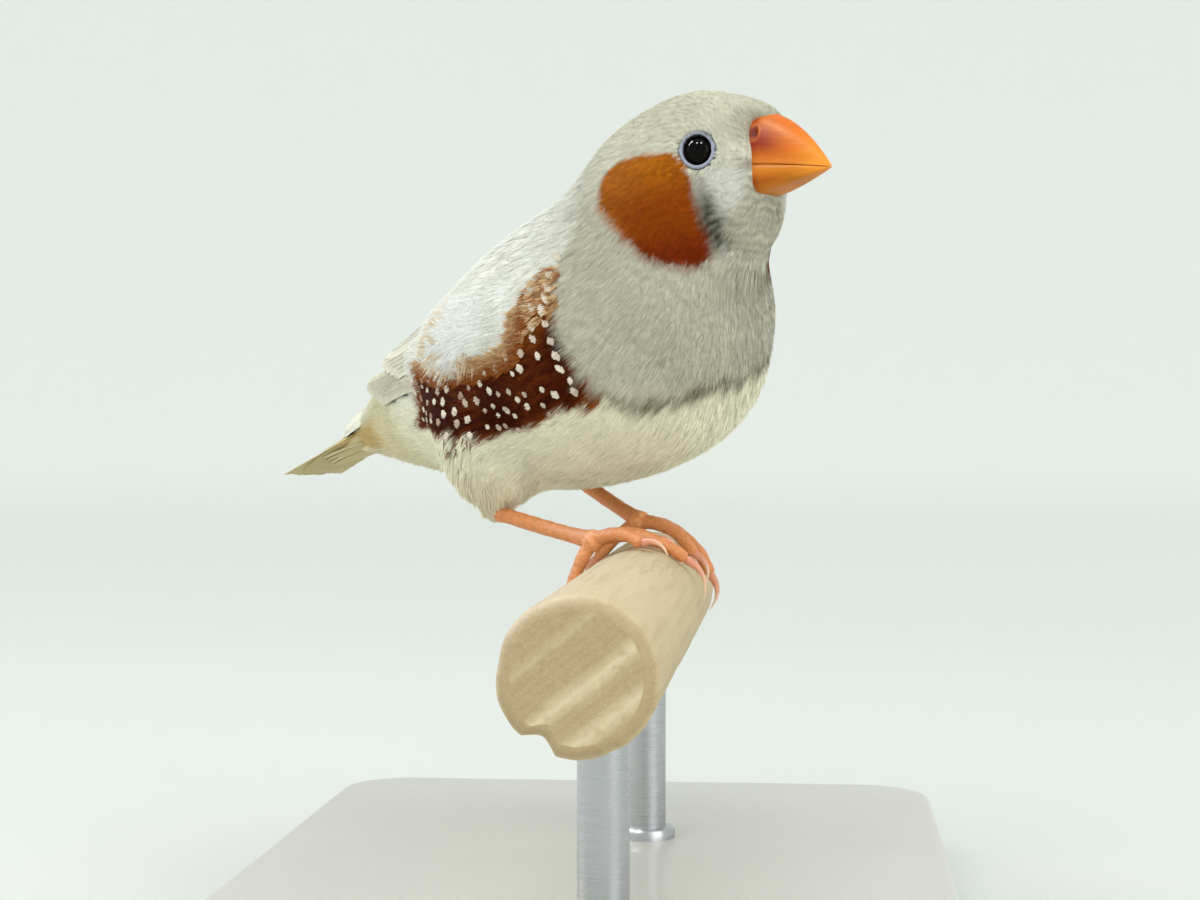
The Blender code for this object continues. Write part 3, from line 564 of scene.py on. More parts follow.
def plumage_material(name):
    """Soft feather barbs: faint mottling and fine grain over the tint."""
    look = Look(name, 0.82, gloss=0.05)
    fine = look.noise(2.2, 4.0, 0.6)
    broad = look.noise(0.35, 2.0)
    look.shade(fine, 0.93, 1.06)
    look.shade(broad, 0.95, 1.04)
    return look.material


def leg_material(name, scale_tone):
    """Scaly skin: small cells between the modelled scutes, and fine wrinkles."""
    look = Look(name, 0.5, gloss=0.3)
    cells = look.cells(2.6)
    wrinkles = look.noise(1.9, 4.0, 0.65, (1.0, 1.0, 2.2))
    look.toward(scale_tone, cells, 0.4, 0.0, 0.0, 0.12)
    look.shade(wrinkles, 0.86, 1.1)
    look.bump(look.ranged(cells, 0.0, 1.0, 0.0, 0.2), 0.035)
    look.bump(wrinkles, 0.10, 0.6)
    look.roughen(wrinkles, 0.42, 0.6)
    return look.material


def horn_material(name, roughness, gloss):
    """Bill or claw: fine growth lines under a dull gloss."""
    look = Look(name, roughness, gloss=gloss)
    lines = look.noise(0.9, 4.0, 0.55, (0.5, 0.5, 2.6))
    specks = look.noise(3.5, 3.0, 0.6)
    look.shade(lines, 0.94, 1.05)
    look.shade(specks, 0.96, 1.03)
    look.bump(lines, 0.06, 0.5)
    look.roughen(specks, roughness - 0.05, roughness + 0.1)
    return look.material


def wood_material(name):
    """Pale dowel: long grain, growth bands that show on its cut ends, and pores."""
    look = Look(name, 0.72)
    long_grain = look.noise(1.1, 5.0, 0.62, (1.0, 0.035, 1.0))
    fine_grain = look.noise(4.5, 3.0, 0.6, (1.0, 0.05, 1.0))
    pores = look.cells(2.4, (1.0, 0.06, 1.0), "F1")
    look.toward(WOOD_DARK_GRAIN, long_grain, 0.0, 0.35, 0.5, 0.72)
    look.toward(WOOD_PALE_GRAIN, fine_grain, 0.0, 0.3, 0.5, 0.75)
    look.shade(pores, 0.82, 1.0, 0.0, 0.13)
    look.bump(long_grain, 0.16, 0.7)
    look.bump(fine_grain, 0.05, 0.6)
    look.roughen(fine_grain, 0.62, 0.85)
    return look.material


def lacquer_material(name):
    """Stand base: satin paint with the faint texture of a sprayed coat."""
    look = Look(name, 0.4, coat=0.2)
    peel = look.noise(1.4, 2.0)
    broad = look.noise(0.05, 2.0)
    look.shade(broad, 0.97, 1.02)
    look.bump(peel, 0.03, 0.5)
    look.roughen(peel, 0.36, 0.46)
    return look.material


def steel_material(name):
    """Rods: steel brushed round their length."""
    look = Look(name, 0.3, metallic=1.0)
    brushed = look.noise(1.0, 4.0, 0.6, (0.2, 0.2, 12.0))
    look.shade(brushed, 0.9, 1.06)
    look.roughen(brushed, 0.24, 0.38)
    look.bump(brushed, 0.02, 0.5)
    return look.material


def eye_material(name):
    """A dark, wet eye."""
    look = Look(name, 0.03, gloss=0.08)
    look.shade(look.noise(1.5), 0.7, 1.3)
    return look.material


# ================================================================ markings
CROWN = tone(210, 207, 188)
NECK = tone(218, 216, 200)
BREAST = tone(200, 196, 178)
BREAST_DARK = tone(114, 104, 80)
THROAT = tone(194, 190, 172)
FOREHEAD = tone(194, 190, 170)
LORES = tone(220, 220, 210)
UNDER_EYE = tone(172, 169, 156)
GAPE_FEATHERS = tone(112, 96, 84)
TEAR = tone(56, 54, 47)
BELLY = tone(247, 243, 218)
MANTLE = tone(236, 236, 228)
FLUFF = tone(242, 243, 240)
RUMP = tone(226, 218, 182)
VENT = tone(230, 220, 184)
CHEEK_TOP = tone(184, 104, 12)
CHEEK_MIDDLE = tone(150, 68, 5)
CHEEK_LOW = tone(124, 41, 4)
CHESTNUT = tone(64, 17, 4)
CHESTNUT_PALE = tone(138, 70, 16)
TAN = tone(222, 188, 142)
WHITE = tone(232, 222, 206)
THIGH = tone(230, 218, 186)
# painted shade in the eye's socket, on the skin round the eyeball
SOCKET_SHADE = tone(14, 12, 12)
WING_GROUND = tone(214, 209, 192)
QUILL = tone(216, 211, 192)
SECONDARY = tone(222, 218, 202)
TERTIAL = tone(228, 225, 210)
COVERT = tone(230, 228, 217)
TAIL_QUILL = tone(218, 208, 168)
TAIL_UNDER = tone(204, 190, 146)
TAIL_COVERT = tone(234, 232, 218)
GOLD = tone(202, 166, 92)

# Outline of the cheek patch, u and w on the plain head
CHEEK_EDGE = np.array((
    (4.9, 42.9), (7.6, 43.4), (10.9, 43.5), (11.8, 42.3), (12.7, 41.0), (13.1, 39.7), (13.5, 37.8),
    (13.8, 36.4), (14.1, 34.6), (14.4, 33.0), (14.1, 31.4), (13.2, 30.8), (12.1, 31.0), (10.6, 31.5),
    (9.2, 32.9), (7.4, 34.8), (6.0, 36.3), (4.6, 38.0), (3.9, 39.8), (3.8, 41.5),
))
# Middle line of the dark streak below the eye: w, u and half width
STREAK = np.array((
    (32.0, 14.8, 0.5), (33.5, 14.8, 0.7), (35.0, 14.65, 1.0), (36.5, 14.5, 1.1), (38.0, 14.5, 0.95),
    (40.0, 14.6, 0.6),
))
# The white in front of it: w, u of its front edge
WHITE_FRONT = np.array((
    (33.0, 15.0), (35.0, 15.5), (36.7, 16.2), (37.8, 16.9), (38.8, 17.4), (41.0, 17.5), (42.0, 16.9),
))
# Degrees above the side line, and the station where the grey breast and neck end behind there:
# on the right, and on the left
GREY_EDGE = np.array((
    (-90.0, 4.60), (-80.0, 4.50), (-67.0, 4.30), (-59.0, 4.19), (-50.0, 4.13), (-37.0, 4.19), (-23.0, 4.28),
    (-14.0, 4.40), (-5.0, 4.55), (3.0, 4.74), (10.0, 4.98), (29.0, 5.2), (60.0, 5.35), (90.0, 5.4),
))
GREY_EDGE_LEFT = np.array((
    (-90.0, 4.60), (-80.0, 4.63), (-67.0, 4.66), (-51.0, 4.62), (-37.0, 4.5), (-23.0, 4.45),
    (-5.0, 4.55), (3.0, 4.74), (10.0, 4.98), (29.0, 5.2), (60.0, 5.35), (90.0, 5.4),
))
# Stations, and the degrees of the lower and the upper edge of the spotted flank there
FLANK_LOW = np.array((
    (1.95, -22.0), (2.06, -28.0), (2.74, -29.0), (2.9, -32.0), (3.13, -37.0), (3.41, -40.0), (3.7, -41.0),
    (3.86, -39.5), (3.98, -44.0), (4.13, -50.0),
))
FLANK_HIGH = np.array((
    (1.9, 10.0), (2.4, 9.0), (2.5, 3.0), (2.84, -4.0), (3.29, -8.0), (3.52, -9.5), (3.72, -11.0),
    (3.92, -11.0), (4.05, -7.0), (4.2, -2.0), (4.35, 1.5), (4.5, 3.5), (4.8, 3.5),
))
# Degrees, and the station of the flank's rear edge there
FLANK_REAR = np.array((
    (-31.0, 2.02), (-21.0, 2.13), (-14.0, 2.22), (-8.0, 2.29), (-2.0, 2.34), (8.0, 2.36), (20.0, 2.4),
))
FLUFF_CENTRE = (3.42, 9.5)                  # middle of the white tuft above the flank: station, degrees
FLUFF_REACH = (0.76, 17.5)
# Darker feathers at the nostril, at the corner of the gape and under the eye: u and w, size, strength
FACE_SHADES = (((17.7, 47.6), 0.6, 0.5), ((17.6, 42.4), 0.6, 0.6), ((13.3, 41.2), 0.5, 0.35))
STATION_MM = 9.0                            # length of a station near the grey's edge
CHEEK_INNER = 4.2                           # the cheek patch ends so far from the middle plane


def grey_edge(phi):
    """Station where the grey of breast and neck ends behind."""
    above = above_side(phi)
    left = soft(np.cos(phi), -0.1, 0.3)
    right_edge = np.interp(above, *GREY_EDGE.T)
    return right_edge + (np.interp(above, *GREY_EDGE_LEFT.T) - right_edge) * left


def cheek_distance(plain):
    """Millimetres inside the edge of the cheek patch, negative outside."""
    place = plain[..., (0, 2)]
    nearest = np.full(place.shape[:-1], 99.0)
    inside = np.zeros(place.shape[:-1], dtype=bool)
    for first, second in zip(CHEEK_EDGE, np.roll(CHEEK_EDGE, -1, axis=0)):
        run = second - first
        off = place - first
        share = np.clip(off @ run / (run @ run), 0.0, 1.0)
        nearest = np.minimum(nearest, np.linalg.norm(off - share[..., None] * run, axis=-1))
        spans = (first[1] > place[..., 1]) != (second[1] > place[..., 1])
        rise = np.where(abs(run[1]) < 1e-9, 1e-9, run[1])
        inside ^= spans & (off[..., 0] < run[0] * off[..., 1] / rise)
    return np.minimum(np.where(inside, nearest, -nearest), np.abs(plain[..., 1]) - CHEEK_INNER)


def flank_degrees(t, above):
    """Degrees inside the edge of the spotted flank, negative outside; the breast lies over its front."""
    low = above - np.interp(t, *FLANK_LOW.T)
    high = np.interp(t, *FLANK_HIGH.T) - above
    rear = (t - np.interp(above, *FLANK_REAR.T)) * 25.0
    front = (np.interp(above, *GREY_EDGE.T) + 0.12 - t) * 40.0
    return np.minimum(np.minimum(low, high), np.minimum(rear, front))


def fluff_distance(t, above):
    """0 in the middle of the white tuft above the flank, 1 at its edge."""
    return np.hypot((t - FLUFF_CENTRE[0]) / FLUFF_REACH[0], (above - FLUFF_CENTRE[1]) / FLUFF_REACH[1])


def fluff_place(ring, angle):
    """Station and degrees in the white tuft, and the way out from its middle there."""
    t = FLUFF_CENTRE[0] + FLUFF_REACH[0] * ring * np.cos(angle)
    above = FLUFF_CENTRE[1] + FLUFF_REACH[1] * ring * np.sin(angle)
    return t, above, np.arctan2(np.sin(angle), -np.cos(angle))


def layered(colour, *layers):
    """A colour with others laid over it, each by its share."""
    for tint, share in layers:
        colour = mix(colour, tint, share)
    return colour


def markings(t, phi, plain):
    """Colour of the plumage at a place."""
    above = above_side(phi)
    u, w = plain[..., 0], plain[..., 2]
    across = np.abs(plain[..., 1])
    uneven, fine, broad, small = (
        waves(plain, size, seed) for size, seed in ((2.6, 11), (1.1, 14), (9.0, 12), (0.55, 15)))
    ahead = (t - grey_edge(phi)) * STATION_MM
    # white and cream behind
    gold = soft(t + 0.12 * fine, 0.8, 0.3) * soft(above, -2.0, -16.0) * soft(above, -52.0, -38.0)
    colour = layered(
        mix(MANTLE, BELLY, soft(above, 5.0, -30.0)),
        (RUMP, soft(t, 2.0, 1.0)),
        (VENT, soft(t, 1.6, 0.6) * soft(above, -5.0, -30.0)),
        (TAIL_COVERT, 0.8 * soft(t, 0.9, 0.3) * soft(above, -5.0, 12.0)),
        (GOLD, 0.8 * gold),
        (THIGH, 0.85 * soft(swell(t, phi), 2.0, 5.5) * soft(w, 12.0, 4.0)),
        (FLUFF, 0.9 * soft(fluff_distance(t, above), 1.15, 0.75)),
    )
    # spotted flank
    inside = flank_degrees(t, above) + 1.8 * uneven + 1.3 * fine
    column = soft(t, 3.95, 4.15) * soft(above, -22.0, -8.0)
    pale = np.maximum(0.85 * column, 0.75 * soft(inside, 5.0, 0.5))
    pale = np.maximum(pale, 0.7 * soft(t, 3.98, 4.1) * soft(above, -38.0, -44.0))
    brown = layered(
        CHESTNUT,
        (CHESTNUT_PALE, np.clip(pale - 0.05 + 0.3 * broad + 0.3 * fine, 0.0, 1.0)),
        (TAN, 0.75 * soft(t, 4.2, 4.5) * soft(above, -9.0, 3.0)),
    )
    brown = brown * (1.0 + 0.14 * small)[..., None]
    colour = mix(colour, brown, soft(inside, -0.6, 0.8))
    # grey breast, paler up the neck and on the crown
    grey = layered(
        BREAST,
        (NECK, soft(t + 0.012 * above, 5.3, 6.2)),
        (CROWN, soft(t, 5.8, 6.8) * soft(above, -5.0, 25.0)),
        (FOREHEAD, soft(t, 7.9, 8.9) * soft(above, 5.0, 40.0)),
        (THROAT, soft(t, 6.6, 7.6) * soft(above, -15.0, -35.0)),
    )
    # the faint bars of its feathers' edges
    below_bill = np.hypot(u - 20.0, w - 46.5)
    bars = np.sin(FULL_TURN * below_bill / 0.95 + 1.7 * waves(plain, 4.0, 13))
    throat = soft(t, 5.2, 6.4) * soft(above, -5.0, -30.0) * soft(u, 11.5, 14.5)
    on_front = soft(t, 4.3, 4.8) * soft(above, -8.0, -35.0)
    bar_depth = 0.04 + 0.11 * throat + 0.05 * on_front
    grey = grey * (1.0 + bar_depth * bars * soft(above, 30.0, 5.0))[..., None]
    streaks = soft(t, 5.6, 6.4) * waves(plain * (0.45, 1.0, 1.6), 1.0, 16)
    grey = grey * (1.0 + 0.03 * small + 0.05 * streaks)[..., None]
    rear_line = soft(ahead + 0.35 * uneven, 1.5, 0.3) * soft(above, -34.0, -52.0)
    grey = mix(grey, BREAST_DARK, 0.9 * rear_line)
    width = 0.35 + 4.5 * soft(above, 3.0, 20.0)
    share = np.clip(0.5 + 0.5 * (ahead + 0.35 * uneven * (above < 15.0)) / width, 0.0, 1.0)
    colour = mix(colour, grey, soft(share, 0.0, 1.0))
    colour = colour * (1.0 + 0.025 * broad)[..., None]
    # face: the white before the dark streak, and the grey behind it
    on_side = soft(across, 3.0, 4.5)
    front = np.interp(w, *WHITE_FRONT.T) + 0.25 * uneven
    white = soft(u, front + 0.5, front - 0.7) * soft(u, 14.0, 15.0)
    white = white * soft(w, 34.0, 36.0) * soft(w, 42.2, 41.0)
    between = soft(u, 15.0, 14.0) * soft(u, 12.0, 13.2) * soft(w, 41.0, 40.0) * soft(w, 31.0, 33.0)
    line = np.interp(w, STREAK[:, 0], STREAK[:, 1])
    half = np.interp(w, STREAK[:, 0], STREAK[:, 2])
    streak = bell(u - line + 0.12 * uneven, 0.0, half) * soft(w, 31.8, 34.0) * soft(w, 40.4, 37.4)
    colour = layered(
        colour,
        (LORES, np.clip((0.9 + 0.45 * fine + 0.3 * small) * white, 0.0, 1.0) * on_side),
        (UNDER_EYE, 0.8 * between * on_side),
        (TEAR, np.clip((0.88 + 0.35 * fine) * streak, 0.0, 1.0) * on_side),
    )
    for place, size, shade in FACE_SHADES:
        off = np.hypot(u - place[0], w - place[1])
        colour = mix(colour, GAPE_FEATHERS, shade * bell(off, 0.0, size) * soft(across, 1.5, 2.5))
    # cheek patch
    patch = cheek_distance(plain) + 0.14 * uneven + 0.06 * small
    height = w - 0.35 * (u - 9.4)
    orange = layered(
        CHEEK_MIDDLE,
        (CHEEK_TOP, soft(height, 37.0, 43.0)),
        (CHEEK_TOP, 0.7 * soft(patch, 1.4, 0.1) * soft(height, 33.0, 36.0) * soft(u, 12.0, 9.0)),
        (CHEEK_LOW, soft(height, 36.5, 30.5)),
        (CHEEK_LOW, 0.5 * soft(patch, 0.7, 0.0) * soft(u, 12.0, 13.5)),
    )
    orange = orange * (1.0 + 0.10 * fine + 0.07 * small)[..., None]
    return mix(colour, orange, soft(patch, -0.2, 0.22))


# ================================================================ wings' places
def wing_axis(along):
    """Degrees above the side line of the middle of the wing."""
    return WING_LOW + WING_RISE * np.clip(along, 0.0, None) ** 3


def bed_depth(along):
    """Depth of the hollow in which the folded wing lies."""
    return BED_DEPTH + (BED_END_DEPTH - BED_DEPTH) * soft(along, *BED_FADE)


def side_radius(t):
    """Mean radius of the body's side at a station."""
    value = station_values(t)
    return 0.5 * (value[..., 2] + value[..., 3])


def wing_place(side):
    """Map (share of the wing's length, millimetres up across it, height) to plain and world points."""
    def place(along, across, height):
        along, across, height = np.broadcast_arrays(along, across, height)
        t = WING_FRONT + (WING_BACK - WING_FRONT) * along
        axis = np.radians(wing_axis(along))
        room = math.radians(WING_TOP_LIMIT) - axis
        turn = across / side_radius(t)
        turn = np.where(turn > 0.0, room * np.tanh(turn / room), turn)
        plain = mirrored(shell(t, axis + turn, height - bed_depth(along)), side)
        return plain, posed(head_turned(plain, t))
    return place


def wing_share(t):
    """Share of the folded wing's length at a station."""
    return (t - WING_FRONT) / (WING_BACK - WING_FRONT)


# How far back the feathers' tips reach, from the lower edge to the upper one: millimetres, shares
WING_END_ACROSS = (-6.0, -3.0, 0.0, 4.0, 8.0)
WING_END_ALONG = (0.87, 0.92, 0.88, 0.76, 0.66)


def wing_cover(t, phi):
    """Millimetres inside the folded wing's outline, negative outside."""
    along = wing_share(t)
    across = np.radians(above_side(phi) - wing_axis(along)) * side_radius(np.minimum(t, LAST))
    half = np.interp(along, WING_LENGTH_MARKS, WING_HALF_BREADTH)
    half = half + 1.9 * soft(across, -3.0, -5.0) * soft(along, 0.4, 0.52) * soft(along, 0.9, 0.72)
    last = np.interp(across, WING_END_ACROSS, WING_END_ALONG)
    ends = np.minimum(along * WING_MM, (last - along) * WING_MM)
    return np.minimum(half - np.abs(across), ends)


def over_wing(t, phi):
    """1 where the coat lies over the folded wing: at its bend, along its front and on the flank."""
    above = above_side(phi)
    flank = soft(t, 2.3, 2.5) * soft(above, 27.0, 16.0)
    scapulars = soft(t, 2.45, 2.9) * soft(above, 14.0, 24.0)
    return np.maximum(np.maximum(flank, scapulars), soft(t, 3.7, 4.0))


def coat_depth(t):
    """How far the skin lies under the plumage's surface."""
    return (1.15 - 0.6 * soft(t, 5.2, 6.8)) * (1.0 - 0.45 * soft(t, 8.2, 9.0))


def skin_depth(t, phi):
    """Depth of the skin, deeper under the folded wings."""
    bed = BED_DEPTH + 0.2 + (BED_END_DEPTH - BED_DEPTH + 1.2) * soft(wing_share(t), *BED_FADE)
    under = soft(wing_cover(t, phi), -0.6, 0.9)
    depth = coat_depth(t)
    return depth + (np.maximum(bed, depth) - depth) * under


# ================================================================ skin
SKIN_GRID = (260, 180)
SKIN_SHADE = 0.85                           # painted shade: the skin is drawn darker than the coat that hides it
SOCKET_SHADE_FADE = (2.1, 1.8)                    # from the eye's middle, where the socket's painted shade begins


def make_skin(material):
    """One skin for head, neck, body and thighs, under the coat."""
    pile = Pile()
    rows, columns = SKIN_GRID
    t, phi = np.meshgrid(
        np.linspace(0.0, LAST + NOSE, rows), np.linspace(0.0, FULL_TURN, columns), indexing="ij")
    plain, world = body_surface(t, phi, -skin_depth(t, phi))
    # painted shade: the skin is drawn near black in the hollow round the eye
    socket = soft(eye_share(plain)[0], *SOCKET_SHADE_FADE)
    # painted shade: the skin takes the coat's colours, drawn darker under the tufts
    colours = mix(markings(t, phi, plain) * SKIN_SHADE, SOCKET_SHADE, socket)
    pile.add(world, colours, sheet_faces(rows, columns), places=sheet_places(rows, columns))
    for end in (0, rows - 1):
        ring = world[end]
        points = np.concatenate((ring, ring.mean(axis=0)[None]))
        s = np.arange(columns - 1)
        fan = np.stack((s, s + 1, np.full(columns - 1, columns)), axis=-1)
        pile.add(points, BELLY, tris=fan if end == 0 else fan[:, ::-1])
    nodes = ("head", "neck", "torso", "rump", "thigh_left", "thigh_right")
    pile.make("skin", material, nodes, bake_map=True)


# ================================================================ tufts
# Multiples of these two steps, each less its whole part, fill a square evenly
EVEN_STEPS = (0.7548776662466927, 0.5698402909980532)
EYE_CLEAR = 2.16                            # no root nearer to the eye's middle
# A tuft's length and half width at these stations
TUFT_STATIONS = (0.0, 1.2, 2.4, 3.6, 4.6, 5.6, 6.4, 7.4, 8.4, 9.4)
TUFT_LENGTH = (4.4, 4.0, 3.7, 3.3, 2.6, 2.1, 1.7, 1.35, 1.05, 0.8)
TUFT_HALF_WIDTH = (0.75, 0.75, 0.7, 0.62, 0.5, 0.42, 0.34, 0.28, 0.24, 0.19)
COLOUR_PLACES = (0.42, 0.88)                # shares of a barb where its two colours are read
BARB_STRIP = np.array(((0, 1, 3, 2), (2, 3, 5, 4)))  # quads over three pairs of points


def scatter(count, t_range, weight, seed):
    """Even roots round a part of the body, with density by weight(t, phi)."""
    cells = 200
    ts = np.linspace(*t_range, cells)
    t, phi = np.meshgrid(ts, np.linspace(0.0, FULL_TURN, cells), indexing="ij")
    points = shell(t, phi)
    down, across = np.gradient(points, axis=0), np.gradient(points, axis=1)
    mass = np.linalg.norm(np.cross(down, across), axis=-1) * weight(t, phi) + 1e-9
    rows = mass.sum(axis=1)
    by_row = np.concatenate(((0.0,), np.cumsum(rows)[:-1])) / rows.sum()
    by_cell = np.cumsum(mass, axis=1) / rows[:, None] + np.arange(cells)[:, None]
    rng = np.random.default_rng(seed)
    k = np.arange(count) + 0.5
    x, y = ((k * step + rng.uniform(-0.3, 0.3, count) / math.sqrt(count)) % 1.0 for step in EVEN_STEPS)
    row = np.clip(np.searchsorted(by_row, x) - 1, 0, cells - 1)
    place = np.interp(y + row, by_cell.ravel(), np.arange(cells * cells) + 1.0) - row * cells
    return np.interp(x, by_row, ts), FULL_TURN * place / cells, rng


def blend(first, second, shares):
    """A colour for grow: between two, by a share for each tuft."""
    shares = np.reshape(shares, (-1, 1))
    return lambda a, b, plain: mix(first, second, np.broadcast_to(shares, a.shape))


def grow(pile, a, b, rng, length, half, strands, turn, depth, tip_lift, fluff, colour_of, bake,
         long=False, spot=False, relief=0.34):
    """Tufts of barbs that lie over the body, each barb lit and coloured as the place that it covers.

    a, b: root places. length, half width, turn from the backward lie, depth, tip
    lift, fluff and relief are one for each tuft, or one for all. colour_of(a, b,
    plain) gives the colour of a place. relief is how much a tuft is lit as a rounded
    form of its own. A spot is rounded at both of its ends.
    """
    n = len(a)
    length, half, turn, depth, tip_lift, fluff, relief = (
        np.broadcast_to(x, n) for x in (length, half, turn, depth, tip_lift, fluff, relief))
    step = 0.01
    zero = np.zeros(n)
    here = body_surface(a, b, zero)[1]
    along_a = (body_surface(a + step, b, zero)[1] - here) / step
    along_b = (body_surface(a, b + step, zero)[1] - here) / step
    forward = unit(along_a)
    normal = unit(np.cross(along_b, along_a))
    under = body_surface(a, b, -np.ones(n))[1]
    normal = normal * np.sign(np.sum(normal * (here - under), axis=-1))[:, None]
    sideways = np.cross(normal, forward)
    sideways = sideways * np.sign(np.sum(sideways * along_b, axis=-1))[:, None]
    # the way of each tuft, as steps of a and b
    wish = length[:, None] * (-np.cos(turn)[:, None] * forward + np.sin(turn)[:, None] * sideways)
    pairs = ((along_a, along_a), (along_a, along_b), (along_b, along_b), (wish, along_a), (wish, along_b))
    aa, ab, bb, wa, wb = (np.sum(x * y, axis=-1) for x, y in pairs)
    whole = aa * bb - ab ** 2
    da = (wa * bb - wb * ab) / whole
    db = (wb * aa - wa * ab) / whole
    root, waist, tip = (body_surface(a + da * s, b + db * s, lift)[1] for s, lift in (
        (0.0, -depth), (0.5, -0.18 * depth + 0.6 * tip_lift), (1.0, tip_lift)))
    run = unit(tip - root)
    across = unit(np.cross(run, normal))
    # barbs: place across the tuft, where they begin and end, and how they stand and roll
    o = np.linspace(-1.0, 1.0, strands)[None] + rng.uniform(-0.5, 0.5, (n, strands)) / strands
    begin = (0.25 * o ** 2 + rng.uniform(0.0, 0.16, (n, strands))) * spot
    reach = 1.0 - 0.25 * o ** 2 - rng.uniform(0.0, 0.2, (n, strands))
    rise = rng.normal(0.0, 1.0, (n, strands)) * fluff[:, None]
    roll = rng.normal(0.0, 0.28, (n, strands))
    if long:
        shares, widths, level = (0.0, 0.3, 0.68, 1.0), (1.0, 1.0, 0.62, 0.0), (0.0, 0.3, 0.68, 1.0)
    elif spot:
        shares, widths, level = (0.0, 0.8, 1.0), (1.0, 1.0, 0.0), (0.0, 0.5, 1.0)
    else:
        shares, widths, level = (0.0, 0.5, 1.0), (1.0, 0.85, 0.0), (0.0, 0.5, 1.0)
    thick = (half * 1.25 / strands)[:, None]
    rows = []
    ribbon = np.cos(roll)[..., None] * across[:, None] + np.sin(roll)[..., None] * normal[:, None]
    for share, width in zip(shares, widths):
        x = (begin + share * (reach - begin))[..., None]
        line = ((1 - x) * (1 - 2 * x) * root[:, None]
                + 4 * x * (1 - x) * waist[:, None] + x * (2 * x - 1) * tip[:, None])
        spread = 1.0 if spot else 0.5 + 0.7 * share
        shift = (half[:, None] * o * spread)[..., None]
        line = line + shift * across[:, None] + (rise * share ** 1.5)[..., None] * normal[:, None]
        if width > 0.0:
            side = (thick * width)[..., None] * ribbon
            rows += [line - side, line + side]
        else:
            rows.append(line)
    points = np.stack(rows, axis=2)
    per = points.shape[2]
    # each tuft is lit as one low, rounded form that follows the body
    round_form = (relief[:, None] * o)[..., None] * across[:, None]
    facing = normal[:, None] + round_form + rng.normal(0.0, 0.07, (n, strands, 3))
    facing = np.repeat(unit(facing)[:, :, None], per, axis=2)
    # colours for each barb's middle and tip, read where they lie
    side_step = (half[:, None] * o) / np.linalg.norm(along_b, axis=-1)[:, None]
    turned = np.sign(np.sum(across * along_b, axis=-1))[:, None]
    grain = 1.0 + rng.normal(0.0, 0.035, (n, strands)) + rng.normal(0.0, 0.022, (n, 1))
    colours = []
    for share in COLOUR_PLACES:
        seen = share + rng.uniform(-0.07, 0.07, (n, strands))
        place_a = a[:, None] + da[:, None] * seen
        place_b = b[:, None] + db[:, None] * seen + side_step * turned
        plain = body_surface(place_a, place_b, np.zeros_like(place_a))[0]
        colours.append(colour_of(place_a, place_b, plain) * grain[..., None])
    middle, tip_colour = colours
    tints = np.stack([middle * 0.9] * 2 + [middle] * (per - 3) + [tip_colour * 1.05], axis=2)
    first = (np.arange(n * strands) * per)[:, None]
    quads = np.concatenate([first + quad for quad in BARB_STRIP[:len(shares) - 2]])
    tris = first + np.array((per - 3, per - 2, per - 1))
    # places on the map: a little patch for each barb, about its tuft's root
    patch = 0.003
    level = np.repeat(level, 2)[:per]
    bake_across, bake_down = (x[:, None, None] for x in bake(a, b))
    places = np.stack(np.broadcast_arrays(
        bake_across + patch * 0.5 * o[..., None], bake_down + patch * (level - 0.5)), axis=-1)
    pile.add(points, tints, quads, tris, places, facing)


def body_bake(t_range, phi_range):
    """Places of roots on an unwrap of a part of the body."""
    def place(t, phi):
        across = 0.01 + 0.98 * (phi - phi_range[0]) / (phi_range[1] - phi_range[0])
        down = 0.01 + 0.98 * (t - t_range[0]) / (t_range[1] - t_range[0])
        return np.clip(across, 0.01, 0.99), np.clip(down, 0.01, 0.99)
    return place


def eye_share(plain):
    """Distance from the nearer eye's middle, and the way out from it over the face."""
    side = np.sign(plain[..., 1])
    off = plain - EYE_PLACE * joined(1.0, side, 1.0)
    return np.linalg.norm(off, axis=-1), off


def body_weight(t, phi):
    """Density of the body's tufts: none under the wings or in the eye rings."""
    plain = shell(t, phi)
    weight = 1.0 + 1.3 * soft(t, 5.6, 6.8) + 1.6 * soft(t, 7.6, 8.8)
    weight = weight * (1.0 - soft(wing_cover(t, phi), 0.4, 1.6) * (1.0 - over_wing(t, phi)))
    return weight * soft(eye_share(plain)[0], EYE_CLEAR - 0.1, EYE_CLEAR)


def thigh_share(t, phi):
    """0 on the body, 1 where the thighs' plumage hangs."""
    return soft(swell(t, phi), 0.6, 3.5)


def body_lie(t, phi, plain):
    """Turn of the lie from straight back, in radians; positive toward larger phi."""
    distance, off = eye_share(plain)
    side = np.where(np.cos(phi) > 0.0, 1.0, -1.0)
    # round the eyes the feathers part above and below
    near = soft(distance, 5.5, 2.6)
    ahead_of = soft(off[..., 0], -1.5, 1.0)
    up = np.where(off[..., 2] > 0.0, 1.0, -1.0)
    turn = side * up * near * (0.35 + 0.75 * ahead_of) * soft(np.abs(off[..., 2]), 0.0, 1.0)
    # flank feathers sweep up over the wing
    above = above_side(phi)
    sweep = soft(t, 2.3, 2.9) * soft(t, 4.6, 3.9) * soft(above, -38.0, -4.0) * soft(above, 40.0, 12.0)
    turn = turn + side * 0.5 * sweep
    # cheeks lie down and back
    cheek = soft(t, 5.4, 6.4) * soft(t, 7.6, 6.8) * soft(above, 30.0, 0.0) * soft(above, -60.0, -20.0)
    # thighs' feathers hang down to the heel
    return turn - side * 0.12 * cheek - side * 1.1 * thigh_share(t, phi)


def body_colour(t, phi, plain):
    """Colour of the body's plumage."""
    return markings(np.clip(t, 0.0, LAST), phi, plain)


